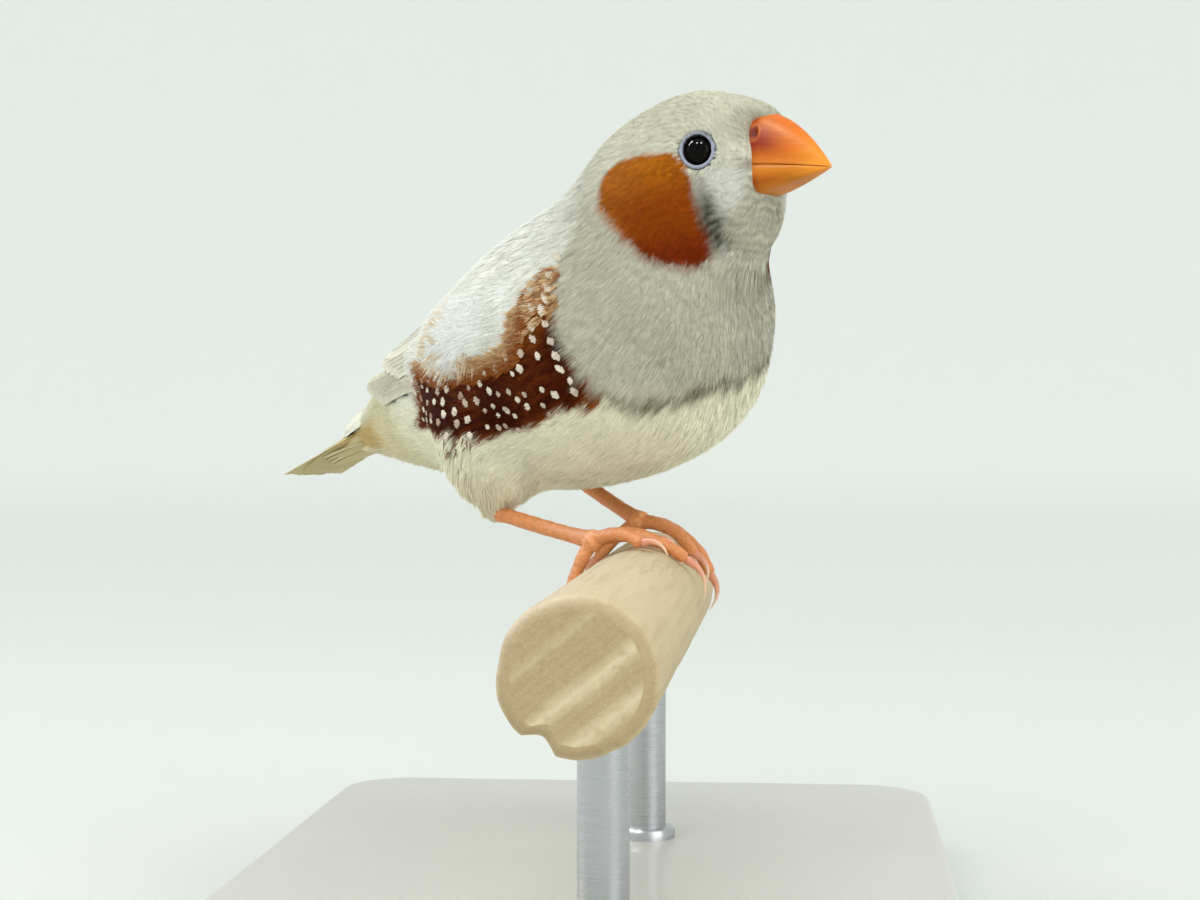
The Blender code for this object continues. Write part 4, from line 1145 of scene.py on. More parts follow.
def coat_piece(name, count, t_range, seed, material, strands):
    """One piece of the body's coat, from one station to another."""
    t, phi, rng = scatter(count, t_range, body_weight, seed)
    clear = eye_share(shell(t, phi))[0] > EYE_CLEAR
    keep = clear & ((wing_cover(t, phi) < 1.4) | (over_wing(t, phi) > 0.3))
    t, phi = t[keep], phi[keep]
    plain = shell(t, phi)
    above = above_side(phi)
    n = len(t)
    belly = soft(above, -25.0, -60.0) * soft(t, 4.6, 3.6)
    hang = thigh_share(t, phi)
    near_eye = soft(eye_share(plain)[0], 4.2, 2.3)
    length = np.interp(t, TUFT_STATIONS, TUFT_LENGTH)
    length = length * (1.0 + 0.25 * belly) * rng.uniform(0.85, 1.15, n)
    length = length * (1.0 - 0.3 * hang) * (1.0 - 0.45 * near_eye)
    half = np.interp(t, TUFT_STATIONS, TUFT_HALF_WIDTH)
    half = half * (1.0 - 0.35 * hang) * (1.0 - 0.35 * near_eye)
    turn = body_lie(t, phi, plain) + rng.normal(0.0, 0.1, n)
    head = soft(t, 5.0, 6.5)
    rear = soft(t, 2.6, 1.4) * soft(above, 0.0, -35.0)
    tip = rng.uniform(-0.25, 0.12, n) * (1.0 - 0.55 * head)
    tip = tip + 0.35 * rear * rng.uniform(0.0, 1.0, n)
    tip = tip + 0.3 * hang * rng.uniform(0.0, 1.0, n)
    fluff = 0.06 - 0.04 * head + 0.02 * belly + 0.10 * rear + 0.12 * hang
    pile = Pile()
    grow(pile, t, phi, rng, length, half, strands, turn, coat_depth(t), tip, fluff,
         body_colour, body_bake(t_range, (0.0, FULL_TURN)), relief=0.34 - 0.16 * belly)
    pile.make(name, material, bake_map=True)


COLUMN_TIPS = 420                           # tan and brown tips in the flank's brown column
BACKWARD_BARBS = 1500                       # brown barbs over the lower white
WHITE_TUFT_TIPS = 420                       # tan tips round the rear of the white tuft
HANGING_BARBS = 16                          # brown barbs below the flank's edge
WHITE_TUFT_FEATHERS = 2000
# Chains of larger white bars on the flank: how many, degrees from and to, stations from the grey's edge
BAR_CHAINS = ((4, -19.0, -4.0, -0.2), (6, -39.0, -13.0, -0.03), (5, -9.0, 7.0, -0.03))


def flank_details(side, word, seed, material):
    """White spots and bars of the flank, and the brown and tan barbs that lie over the white tuft."""
    rng = np.random.default_rng(seed)
    pile = Pile()
    phi_range = (-1.0, 1.0) if side > 0.0 else (math.pi - 1.0, math.pi + 1.0)
    bake = body_bake((1.8, 4.9), phi_range)

    def marks(t, above, length, half, turn, clear):
        """Spots, whiter where clear is larger."""
        grow(pile, t, side_phi(side, above), rng, length, half, 10, side * turn, -0.02, 0.2, 0.02,
             blend(CHESTNUT_PALE, WHITE, clear), bake, spot=True)

    def barbs(t, above, length, half, turn, depth, lift, fluff, colour_of):
        """Barbs in twos."""
        grow(pile, t, side_phi(side, above), rng, length, half, 2, side * turn, depth, lift, fluff,
             colour_of, bake)

    # rows of spots over the dark flank, each row set off by half a step
    row, column = np.meshgrid(np.arange(10), np.arange(13), indexing="ij")
    t = 2.24 + 0.152 * column + 0.076 * (row % 2) + rng.uniform(-0.05, 0.05, row.shape)
    above = -39.0 + 4.7 * row + 1.6 * np.sin(0.8 * column + 0.6) + rng.uniform(-1.5, 1.5, row.shape)
    keep = (flank_degrees(t, above) > 1.0) & (t < 4.02) & (rng.uniform(0.0, 1.0, row.shape) < 0.96)
    t, above = t[keep], above[keep]
    n = len(t)
    rear = soft(t, 3.1, 2.4)
    size = rng.uniform(0.62, 1.1, n)
    clear = np.clip(rng.uniform(0.3, 1.25, n) + 0.2 * soft(t, 3.0, 3.6), 0.25, 1.0)
    marks(t, above, size * (1.0 + 0.15 * rear), 0.46 * size * (1.0 - 0.3 * rear),
          0.3 + rng.normal(0.0, 0.3, n), clear)
    # larger bars down the brown column, and a chain of them along the grey breast
    for count, low, high, shift in BAR_CHAINS:
        above = np.linspace(low, high, count) + rng.uniform(-0.9, 0.9, count)
        t = np.interp(above, *GREY_EDGE.T) + shift + rng.uniform(-0.025, 0.025, count)
        marks(t, above, rng.uniform(0.7, 1.1, count), rng.uniform(0.42, 0.62, count),
              0.1 + rng.normal(0.0, 0.25, count), rng.uniform(0.7, 1.0, count))
    # tan and brown tips between the bars of the column
    n = COLUMN_TIPS
    t = rng.uniform(4.0, 4.75, n)
    above = rng.uniform(-12.0, 13.0, n)
    keep = (t < np.interp(above, *GREY_EDGE.T) + 0.1) & (above < np.interp(t, *FLANK_HIGH.T) + 3.0)
    t, above = t[keep], above[keep]
    n = len(t)
    colour_of = blend(CHESTNUT_PALE, TAN, rng.uniform(0.0, 1.0, n))
    barbs(t, above, rng.uniform(0.9, 1.9, n), 0.12, rng.uniform(-0.1, 0.6, n), 0.02,
          rng.uniform(0.1, 0.35, n), 0.05, colour_of)
    # brown barbs that point back over the lower white, from the flank's upper edge and the column
    n = BACKWARD_BARBS
    t = rng.uniform(2.5, 4.25, n)
    edge = np.interp(t, *FLANK_HIGH.T)
    above = edge + rng.uniform(-6.0, 2.5, n)
    out = np.clip(0.35 * (above - edge + 3.0) / 3.0 + rng.uniform(-0.2, 0.5, n), 0.0, 1.0)
    barbs(t, above, rng.uniform(1.2, 3.0, n), 0.09, rng.uniform(-0.2, 0.75, n), 0.1,
          rng.uniform(0.15, 0.5, n), 0.08, blend(CHESTNUT_PALE, TAN, out))
    # tan tips round the rear of the white tuft, in line with its feathers
    n = WHITE_TUFT_TIPS
    angle = rng.uniform(0.6 * math.pi, 1.5 * math.pi, n)
    t, above, radial = fluff_place(rng.uniform(0.5, 0.98, n), angle)
    colour_of = blend(TAN, FLUFF, rng.uniform(0.0, 0.3, n))
    barbs(t, above, rng.uniform(1.8, 4.0, n), 0.09, radial * 0.75, 0.0,
          rng.uniform(0.35, 0.75, n), 0.06, colour_of)
    # a few brown barbs hang below the flank's edge
    n = HANGING_BARBS
    t = rng.uniform(2.72, 2.98, n)
    above = rng.uniform(-35.0, -29.0, n)
    barbs(t, above, rng.uniform(1.4, 3.0, n), 0.07, -rng.uniform(0.3, 1.5, n), 0.05,
          rng.uniform(0.15, 0.35, n), 0.05, blend(CHESTNUT, CHESTNUT_PALE, 0.5))
    pile.make("flank_spots_" + word, material, bake_map=True)


def white_tuft(side, word, seed, material):
    """The loose white feathers above the flank, that part from one place."""
    rng = np.random.default_rng(seed)
    pile = Pile()
    n = WHITE_TUFT_FEATHERS
    angle = rng.uniform(0.0, FULL_TURN, n)
    ring = np.sqrt(rng.uniform(0.0, 1.0, n)) * 0.9
    t, above, radial = fluff_place(ring, angle)
    rear = soft(-np.cos(angle), -0.2, 0.6)
    turn = side * (0.12 + 0.75 * radial * soft(ring, 0.0, 0.6) * rear)
    shade = soft(ring, 0.55, 0.9)
    phi_range = (-1.0, 1.4) if side > 0.0 else (math.pi - 1.4, math.pi + 1.0)
    grow(pile, t, side_phi(side, above), rng, rng.uniform(2.4, 4.0, n), 0.5, 8, turn,
         0.3, rng.uniform(0.1, 0.55, n) * (1.0 - 0.6 * shade), 0.10,
         blend(FLUFF, MANTLE, shade), body_bake((2.4, 4.5), phi_range), long=True)
    pile.make("white_tuft_" + word, material, bake_map=True)


# ================================================================ feathers with vanes
def feather(pile, place, root, tip, half_width, scale, tint, rng,
            spacing=0.33, blunt=0.25, outer=0.62, droop=0.12, edging=0.0):
    """One feather: a tapered shaft and a barb every spacing on both sides.

    root and tip are (along, across, height); scale turns along into millimetres.
    The vane toward larger across is the inner one; outer narrows the other. edging
    makes the middle darker and the edges paler.
    """
    root, tip = np.array(root, dtype=float), np.array(tip, dtype=float)
    long = np.hypot((tip[0] - root[0]) * scale, tip[1] - root[1])
    count = max(int(long / spacing), 6)
    x = (np.arange(count) + 0.5) / count
    point = (1.0 - np.clip((x - 1.0 + blunt) / blunt, 0.0, 1.0) ** 2.2) ** 0.5
    shape = np.clip(x / 0.16, 0.0, 1.0) ** 0.5 * point
    way = np.array(((tip[0] - root[0]) * scale, tip[1] - root[1])) / long
    cross = np.array((-way[1], way[0]))
    for side, width in ((1.0, 1.0), (-1.0, outer)):
        reach = half_width * width * shape * (1.0 + rng.normal(0.0, 0.02, count))
        sweep = 1.25 * reach + 0.25
        rows = []
        for share in (0.0, 0.5, 1.0):
            o = side * reach * share
            s = x * long + sweep * share ** 1.15
            s = np.minimum(s, long * (1.0 + 0.01 * share))
            along = root[0] + (way[0] * s + cross[0] * o) / scale
            across = root[1] + way[1] * s + cross[1] * o
            height = root[2] + (tip[2] - root[2]) * s / long - droop * (o / half_width) ** 2 * half_width
            height = height - 0.05 * side * (o / half_width)
            thick = long / count * (0.75 if share < 1.0 else 0.3)
            for end in (-1.0, 1.0):
                rows.append(place(
                    along + way[0] * thick * end / scale, across + way[1] * thick * end,
                    height + 0.03 * end)[1])
        points = np.stack(rows, axis=1)
        # a web just below the barbs closes the gaps between them; it is drawn a little darker than the
        # barbs, as painted shade in the gaps
        web = 0.5 * (points[::2, ::2] + points[::2, 1::2])
        edge = along[::2], across[::2]
        below = place(*edge, height[::2] - 0.06)[1] - place(*edge, height[::2])[1]
        web = web + below[:, None]
        pile.add(web, tint * (0.96 - edging), sheet_faces(len(web), 3))
        first = (np.arange(count) * 6)[:, None]
        colour = np.broadcast_to(tint, (count, 6, 3)) * (1.0 + rng.normal(0.0, 0.03, (count, 1, 1)))
        shade = np.repeat((0.97, 1.0, 1.03), 2) + edging * np.repeat((-1.2, -0.8, 0.7), 2)
        quads = np.concatenate([first + quad for quad in BARB_STRIP])
        pile.add(points, colour * shade[None, :, None], quads)
    # shaft
    parts = np.linspace(0.0, 0.97, 9)
    s = parts * long
    along = root[0] + way[0] * s / scale
    across = root[1] + way[1] * s
    height = root[2] + (tip[2] - root[2]) * parts + 0.05
    size = 0.16 * (1.0 - 0.8 * parts) * min(half_width / 1.6, 1.2)
    rings = []
    for angle in round_angles(6):
        o, rise = np.cos(angle) * size, np.sin(angle) * size
        rings.append(place(along + cross[0] * o / scale, across + cross[1] * o, height + rise)[1])
    add_tube(pile, np.stack(rings, axis=1), tint * 0.86)


WING_LIFT = 0.6                             # of the quills over the plumage beside the vent
# Tiers of a wing's feathers, from the quills up: how many; the lowest one's root (share along,
# millimetres across, height) and the step to the next; its tip and the step to the next; half width,
# tint, bluntness, width of the outer vane, edging; and whether it lies over the plumage at the vent
WING_TIERS = (
    (7, (0.28, -8.4, 0.95), (0.015, 0.75, 0.0), (0.79, -5.5, 1.05), (0.014, 0.4, 0.04),
     1.3, QUILL, 0.03, 0.6, 0.1, True),
    (7, (0.22, -4.2, 1.2), (0.01, 1.1, 0.0), (0.62, -4.3, 1.45), (0.029, 0.75, 0.03),
     2.0, SECONDARY, 0.16, 0.62, 0.07, True),
    (4, (0.2, 1.6, 1.5), (0.0, 1.4, 0.0), (0.75, 0.8, 1.78), (-0.045, 1.1, 0.05),
     2.1, TERTIAL, 0.3, 0.8, 0.05, True),
    (9, (0.13, -5.5, 1.75), (0.0, 1.38, 0.0), (0.40, -5.1, 1.95), (0.009, 1.34, 0.0),
     1.4, COVERT, 0.35, 0.85, 0.0, False),
    (9, (0.05, -4.6, 1.95), (0.0, 1.2, 0.0), (0.26, -4.8, 2.25), (0.0, 1.25, 0.0),
     1.2, COVERT, 0.5, 0.95, 0.0, False),
)


def make_wing(side, word, material, seed):
    """Folded wing: quills, then tiers of coverts over them."""
    place = wing_place(side)
    rng = np.random.default_rng(seed)
    pile = Pile()
    # ground under the feathers, so that nothing shows between them
    rows, columns = 60, 24
    along = np.linspace(0.0, 0.84, rows)[:, None]
    half = np.interp(along, WING_LENGTH_MARKS, WING_HALF_BREADTH) - 0.7
    across = half * np.linspace(-1.0, 1.0, columns)[None]
    arm = 1.75 - 1.3 * soft(along, 0.1, 0.5)
    height = GAP + arm * (1.0 - (across / half) ** 2) ** 0.5 + 0.25
    pile.add(place(along, across, height)[1], WING_GROUND, sheet_faces(rows, columns))

    def over(along, across, height):
        """The quills lie over the plumage beside the vent."""
        rise = WING_LIFT * soft(along, 0.4, 0.6) * soft(along, 1.0, 0.85)
        low = (bed_depth(along) - 0.75) * soft(across, -3.5, -6.5) * soft(along, 0.46, 0.58)
        return place(along, across, height + np.maximum(rise, low))

    for count, *ends, half_width, tint, blunt, outer, edging, lifted in WING_TIERS:
        root, root_step, tip, tip_step = np.array(ends)
        for i in range(count):
            feather(pile, over if lifted else place, root + i * root_step, tip + i * tip_step,
                    half_width, WING_MM, tint, rng, blunt=blunt, outer=outer, edging=edging)
    pile.make("wing_feathers_" + word, material, ("wing_" + word,))


def tail_place():
    """Map (millimetres behind the rump, to the left, upward) to plain and world points."""
    value = STATIONS[0]
    lean = math.radians(TAIL_LEAN)

    def place(along, across, height):
        plain = joined(
            value[0] - np.cos(lean) * along - np.sin(lean) * height,
            across,
            value[1] - np.sin(lean) * along + np.cos(lean) * height,
        )
        return plain, posed(plain)
    return place


# The upper coverts' soft lobe, which tapers over the tail's base: along, half width, rise
LOBE = (
    (-3.0, 3.9, 2.6), (0.0, 4.1, 3.1), (2.0, 3.9, 2.8), (4.0, 3.4, 2.2), (6.0, 2.6, 1.5), (8.0, 1.4, 0.7),
)
LOBE_BASE = -0.6                            # height of its foot
# The rump's end under the coverts: along, share of the last section's size
RUMP_END = ((-1.5, 0.9), (0.0, 0.88), (1.5, 0.80), (3.0, 0.66), (4.5, 0.48), (6.0, 0.28))
# A flat core, so that nothing dark shows between the feathers: along, half width, half thickness, tint.
# Behind its golden base the tint is drawn darker, as painted shade between the feathers
TAIL_CORE = (
    (0.5, 2.9, 0.7, GOLD), (4.5, 3.6, 0.66, mix(GOLD, TAIL_UNDER, 0.6)),
    (8.5, 3.9, 0.62, TAIL_UNDER * 0.88), (12.0, 3.6, 0.55, TAIL_UNDER * 0.85),
    (15.0, 2.9, 0.45, TAIL_UNDER * 0.88), (17.5, 1.8, 0.3, TAIL_UNDER * 0.9),
)
# The under coverts' form: along, half width, half thickness
UNDER_FORM = ((-1.0, 3.3, 1.5), (3.0, 3.2, 1.15), (7.0, 2.8, 0.8), (10.5, 1.7, 0.4))
# Rows of upper coverts: along from and to, how many
UPPER_COVERTS = ((-3.0, 7.6, 6), (-3.5, 5.2, 8), (-4.5, 2.6, 8))


def make_tail(material):
    """Six pairs of tail feathers, with coverts above and below."""
    place = tail_place()
    rng = np.random.default_rng(71)
    pile = Pile()
    value = STATIONS[0]
    angle = round_angles(24)
    rings = []
    for along, size in RUMP_END:
        height = np.where(np.sin(angle) > 0.0, value[3], value[4]) * np.sin(angle) * size
        rings.append(place(along, value[2] * np.cos(angle) * size, height - 0.06 * along)[1])
    add_tube(pile, rings, RUMP)
    flat = np.sign(np.cos(angle)) * np.abs(np.cos(angle)) ** 0.45
    deep = np.sign(np.sin(angle)) * np.abs(np.sin(angle)) ** 0.8
    rings, tints = [], []
    for along, half, thick, tint in TAIL_CORE:
        height = -0.38 + thick * deep - 0.03 * along - 0.08 * np.abs(half * flat)
        rings.append(place(along, half * flat, height)[1])
        tints.append(tint)
    add_tube(pile, rings, np.array(tints)[:, None])
    for pair in reversed(range(6)):
        for side in (1.0, -1.0):
            level = TAIL_TOP - TAIL_STEP * (pair + (0.5 if side < 0.0 else 0.0))
            spread = math.radians(0.75 * (pair + 0.4))
            reach = TAIL_LENGTH - 0.45 * pair
            root = (0.5, side * (0.35 + 0.42 * pair), level)
            out = 0.6 + 0.3 * pair + reach * math.sin(spread)
            tip = (reach * math.cos(spread), side * out, level - 0.2)
            tint = mix(TAIL_QUILL, TAIL_UNDER, 0.16 * pair)
            feather(pile, place, root, tip, 1.6, 1.0, tint, rng, spacing=0.2, blunt=0.2,
                    outer=0.85, droop=0.12, edging=0.04)
    marks, halves, rises = zip(*LOBE)

    def lobe(along, across, height):
        """The upper coverts lie over a low rounded form."""
        half = np.interp(along, marks, halves)
        rise = np.interp(along, marks, rises) * np.clip(1.0 - (across / half) ** 2, 0.0, 1.0) ** 0.5
        return place(along, across, height + rise + LOBE_BASE)

    half_turn = np.linspace(0.0, math.pi, 24)
    rings = [place(along, half * np.cos(half_turn), LOBE_BASE + 0.1 + rise * np.sin(half_turn))[1]
             for along, half, rise in LOBE]
    # painted shade: the lobe under the upper coverts is drawn a little darker than they are
    pile.add(np.array(rings), TAIL_COVERT * 0.97, sheet_faces(len(rings), 24))
    for start, end, count in UPPER_COVERTS:
        for i in range(count):
            off = (i - 0.5 * (count - 1)) / (0.5 * (count - 1))
            root = (start, 3.5 * off, 0.35)
            tip = (end - 1.2 * off ** 2, 3.0 * off * (1.0 - 0.05 * end), 0.5)
            feather(pile, lobe, root, tip, 1.25, 1.0, TAIL_COVERT, rng, spacing=0.2, blunt=0.5,
                    outer=0.95, droop=0.15)
    rings = [place(along, half * flat, -1.25 + thick * deep)[1] for along, half, thick in UNDER_FORM]
    # painted shade: the form under the under coverts is drawn a little darker than they are
    add_tube(pile, rings, TAIL_UNDER * 0.95)
    for i in range(7):
        off = i - 3.0
        tint = TAIL_UNDER if i % 2 else mix(TAIL_UNDER, VENT, 0.4)
        root = (-1.5, 0.72 * off, -2.8 + 0.14 * abs(off))
        tip = (11.4 - 0.55 * abs(off), 0.95 * off, -1.75 + 0.14 * abs(off))
        feather(pile, place, root, tip, 1.2, 1.0, tint, rng, spacing=0.2, blunt=0.5,
                outer=0.95, droop=-0.12)
    pile.make("tail_feathers", material, ("tail",))


# ================================================================ eyes
EYEBALL_GRID = (40, 48)
EYE_RIM = tone(6, 5, 5)
EYE_MIDDLE = tone(13, 8, 6)
LID_EDGE = tone(24, 24, 28)
LID_PALE = tone(154, 160, 182)
LID_TOP = tone(116, 122, 138)
LID_OUTER = tone(58, 56, 54)
RING_STEPS = 144
# Profile of the bare ring: radius from the eye's middle, and height over the lids' plane
RING_PROFILE = np.array((
    (1.60, -0.60), (1.61, -0.30), (1.63, -0.10), (1.67, 0.04), (1.74, 0.10), (1.85, 0.11),
    (1.96, 0.06), (2.04, -0.02), (2.10, -0.12), (2.16, -0.35), (2.19, -0.9),
))


def eye_frame(side):
    """On the plain head: the ways out of an eye, forward and up over it, and the eyeball's middle."""
    ahead = math.radians(EYE_FORWARD)
    axis = np.array((math.sin(ahead), side * math.cos(ahead), 0.0))
    up = np.array((0.0, 0.0, 1.0))
    return axis, np.cross(axis, up) * side, up, mirrored(EYE_PLACE, side) - EYE_SINK * axis


def make_eye(side, word, eye_look, ring_look):
    """Eyeball, and the bare ring of lids round it."""
    axis, fore, up, centre = eye_frame(side)
    polar, turn = ball_angles(*EYEBALL_GRID, 0.001)
    out = np.cos(polar)[..., None] * axis + np.sin(polar)[..., None] * (
        np.cos(turn)[..., None] * fore + np.sin(turn)[..., None] * up)
    pile = Pile()
    colours = mix(EYE_RIM, EYE_MIDDLE, soft(np.sin(polar), 0.35, 0.75))
    add_tube(pile, on_head(centre + EYE_RADIUS * out), colours)
    pile.make("eyeball_" + word, eye_look, ("eye_" + word,))
    turn = round_angles(RING_STEPS)
    radius, height = (np.repeat(x[:, None], RING_STEPS, axis=1) for x in RING_PROFILE.T)
    # the lids' corners reach out behind and in front
    outer = soft(radius, 1.66, 2.08)
    rear = bell(turn, math.pi, 0.2)
    front = bell(np.minimum(turn, FULL_TURN - turn), 0.0, 0.25)
    radius = radius + outer * (0.34 * rear + 0.12 * front)
    beads = np.cos(30.0 * turn) * bell(radius, 1.96, 0.07)
    beads = beads + 0.6 * np.cos(24.0 * turn + 1.0) * bell(radius, 1.74, 0.07)
    height = height + 0.022 * beads
    ring = mirrored(EYE_PLACE, side) + radius[..., None] * (
        np.cos(turn)[:, None] * fore + np.sin(turn)[:, None] * up) + height[..., None] * axis
    # dark borders within and without, wider over the eye, where the lid is darker too
    top = soft(np.sin(turn), 0.0, 0.9) * np.ones_like(radius)
    wander = 0.025 * (np.cos(7.0 * turn + 0.6) + np.cos(12.0 * turn))
    pale = mix(LID_PALE, LID_TOP, top)
    colours = mix(LID_EDGE, pale, soft(radius, 1.61 + 0.06 * top, 1.67 + 0.08 * top))
    colours = mix(colours, LID_OUTER, 0.85 * soft(radius + wander, 2.0 - 0.1 * top, 2.08 - 0.1 * top))
    colours = colours * (1.0 + 0.12 * beads)[..., None]
    pile = Pile()
    pile.add(on_head(ring), colours, sheet_faces(len(RING_PROFILE), RING_STEPS, closed=True))
    pile.make("eye_ring_" + word, ring_look)


# ================================================================ bill
BILL_RED = tone(140, 34, 4)
BILL_ORANGE = tone(220, 112, 8)
BILL_TIP_TONE = tone(232, 146, 44)
BILL_PALE = tone(226, 142, 70)
BILL_LOWER = tone(190, 112, 26)
BILL_GOLD = tone(206, 118, 28)
# painted shade in the nostrils' openings
NOSTRIL_SHADE = tone(104, 26, 8)
BILL_BASE_MARKS = (-0.42, -0.28, -0.14)     # shares of the bill that are sunk in the plumage


def bill_shape(part):
    """u, half width, culmen, gape and chin heights at a share of the bill's length."""
    u = BILL_BASE_U + (BILL_TIP[0] - BILL_BASE_U) * part
    inner = np.clip(part, 0.0, 1.0)
    width = BILL_BASE_HALF_WIDTH * (1.0 - inner ** 1.35) ** 0.9
    culmen = BILL_TIP[1] + (CULMEN_BASE_W - BILL_TIP[1]) * (1.0 - inner ** 1.8)
    gape = GAPE_BASE_W + (BILL_TIP[1] - GAPE_BASE_W) * inner ** 2
    chin = gape - (GAPE_BASE_W - CHIN_BASE_W) * (1.0 - inner ** 1.3)
    return u, width, culmen, gape, chin


def make_bill(upper, name, node, material):
    """One mandible, drawn finely, its base sunk in the plumage."""
    part = np.concatenate((BILL_BASE_MARKS, np.linspace(0.0, 0.995, 90)))[:, None]
    u, width, culmen, gape, chin = bill_shape(part)
    inner = np.clip(part, 0.0, 1.0)
    angle = np.linspace(0.0, math.pi, 61)[None]
    sign = np.sign(np.cos(angle))
    wall, roof = UPPER_ROUNDING if upper else LOWER_ROUNDING
    side = width * sign * np.abs(np.cos(angle)) ** wall
    bow = 0.10 * np.sin(math.pi * inner)
    edge = gape + (0.03 if upper else -0.05) - bow * 0.6
    height = edge + ((culmen if upper else chin) - edge) * np.sin(angle) ** roof
    lean = math.radians(STATIONS[-1][5])
    shift = -math.tan(lean) * (height - STATIONS[-1][1]) * (1.0 - inner)
    ring = joined(u + shift, side, height)
    part, share = np.broadcast_arrays(part, np.sin(angle))
    # red about the base, gold toward the tip and the cutting edges, and a painted highlight, a lighter
    # stripe, beside the culmen
    ground = BILL_ORANGE if upper else BILL_LOWER
    colours = mix(ground, BILL_TIP_TONE, soft(part + 0.16 * (1.0 - share), 0.5, 1.0))
    red = (0.95 if upper else 0.45) * (bell(part, 0.1, 0.3) * bell(share, 0.45, 0.4))
    colours = mix(colours, BILL_RED, np.clip(red + 0.3 * soft(part, 0.1, 0.0), 0.0, 1.0))
    colours = mix(colours, BILL_GOLD, 0.5 * soft(share, 0.42, 0.12) * soft(part, 0.9, 0.4))
    if upper:
        # painted highlight: a lighter stripe beside the culmen
        highlight_stripe = bell(share - 0.86 + 0.25 * part, 0.0, 0.06) * soft(part, 0.02, 0.14) * soft(part, 0.6, 0.3)
        colours = mix(colours, BILL_PALE, 0.55 * highlight_stripe)
        # culmen ridge, nostrils with their rims, and the turned cutting edge
        ring[..., 2] += 0.06 * bell(angle, 0.5 * math.pi, 0.2) * (1.0 - part)
        for away in [ring - mirrored(NOSTRIL_PLACE, mirror) for mirror in (1.0, -1.0)]:
            flat = np.hypot(away[..., 0] / 0.36, away[..., 2] / 0.62)
            near = np.abs(away[..., 1]) < 1.6
            pit = np.exp(-flat ** 4) * near
            rim = bell(flat, 1.45, 0.35) * near
            inward = joined(-0.25, -np.sign(ring[..., 1]), 0.0)
            ring = ring + (0.12 * pit - 0.07 * rim)[..., None] * inward
            # painted shade: the nostril's pit is drawn dark
            colours = mix(colours, NOSTRIL_SHADE, pit)
            colours = mix(colours, BILL_PALE, 0.35 * rim)
        lip = bell(np.sin(angle), 0.06, 0.05)
        ring[..., 1] += 0.05 * lip * sign * (1.0 - part) ** 0.5
        # painted highlight: a paler line along the turned cutting edge
        colours = mix(colours, BILL_PALE, 0.3 * lip * np.ones_like(part))
    else:
        colours = mix(colours, BILL_PALE, 0.28 * soft(share, 0.5, 1.0) * soft(part, 0.8, 0.1))
        lip = bell(np.sin(angle), 0.08, 0.06)
        colours = mix(colours, BILL_TIP_TONE, 0.35 * lip * np.ones_like(part))
    pile = Pile()
    rows, columns = ring.shape[:2]
    world = on_head(ring)
    faces = sheet_faces(rows, columns, closed=True)
    pile.add(world, colours, faces if upper else faces[:, ::-1])
    for end in (0, rows - 1):
        pile.cap(world[end], colours[end].mean(axis=0))
    pile.make(name, material, (node,))


# ================================================================ legs
LEG = tone(234, 150, 92)
LEG_PALE = tone(246, 188, 140)
# painted shade for the grooves between the legs' plates and for their undersides
LEG_SHADE = tone(190, 98, 44)
TOE = tone(236, 156, 100)
TARSUS_SHOWN = 0.88                         # share of the solids' thickness that is drawn
HUB_SHOWN = 0.94
TOE_SHOWN = 0.92
TARSUS_PLATES = 8
TOE_PLATES = (9, 12, 10, 8)                 # inner, middle, outer and hind toe, and their pads below
TOE_PADS = (2, 3, 4, 2)
SCUTE_GAP = 0.04                            # share of a scute beside each joint of the solids' toes
CLAW_ROOT = tone(222, 150, 120)
CLAW_TIP = tone(236, 206, 178)
CLAW_CORE = tone(150, 84, 72)


def round_perch(angle, radius, y):
    """A point at an angle and a distance from the perch's axis."""
    angle = np.radians(angle)
    return joined(PERCH_X + radius * np.cos(angle), y, PERCH_Z + radius * np.sin(angle))


def toe_path(foot, index, parts):
    """Places from the hub to the tip of a toe, over the perch."""
    angle, radius, y = FEET[foot]["hub"]
    end_angle, end_y, arch = FEET[foot]["toes"][index]
    resting = PERCH_RADIUS + TOE_SHOWN * TOE_RADIUS
    height = resting + (radius - resting) * (1.0 - parts) ** 2
    height = height + arch * np.sin(math.pi * parts)
    return round_perch(angle + (end_angle - angle) * parts, height, y + end_y * parts ** 0.8)


def scaly_tube(pile, path, radius, up, plates, sides, seed, tint, pads=0):
    """A limb: plates overlap along its upper side, fine scales and pads below."""
    across, over = tube_frame(path, up)
    x = np.linspace(0.0, 1.0, len(path))[:, None]
    angle = round_angles(sides)[None]
    upper = soft(np.sin(angle), -0.2, 0.35)
    step = (x * plates) % 1.0
    saw = np.where(step < 0.86, step / 0.86, (1.0 - step) / 0.14)
    size = radius[:, None] * (1.0 + 0.085 * (saw - 0.4) * upper)
    size = size * (1.0 + 0.02 * waves(joined(x * 14.0, np.cos(angle), np.sin(angle)), 2.0, seed))
    if pads:
        bulge = np.abs(np.sin(math.pi * pads * x)) ** 0.7
        size = size * (1.0 + 0.16 * (bulge - 0.5) * (1.0 - upper))
    wheel = across[:, None] * np.cos(angle)[..., None] + over[:, None] * np.sin(angle)[..., None]
    rings = path[:, None] + size[..., None] * wheel
    edge = upper * soft(saw, 0.75, 1.0)
    groove = upper * soft(step, 0.9, 0.99)
    colour = mix(tint, LEG_PALE, 0.55 * edge)
    # painted shade: darker in the grooves between the plates and on the limb's underside
    colour = mix(colour, LEG_SHADE, 0.6 * groove + 0.35 * (1.0 - upper))
    uneven = waves(path[:, None] + np.zeros_like(rings), 1.7, seed + 1)
    add_tube(pile, rings, colour * (1.0 + 0.05 * uneven)[..., None])


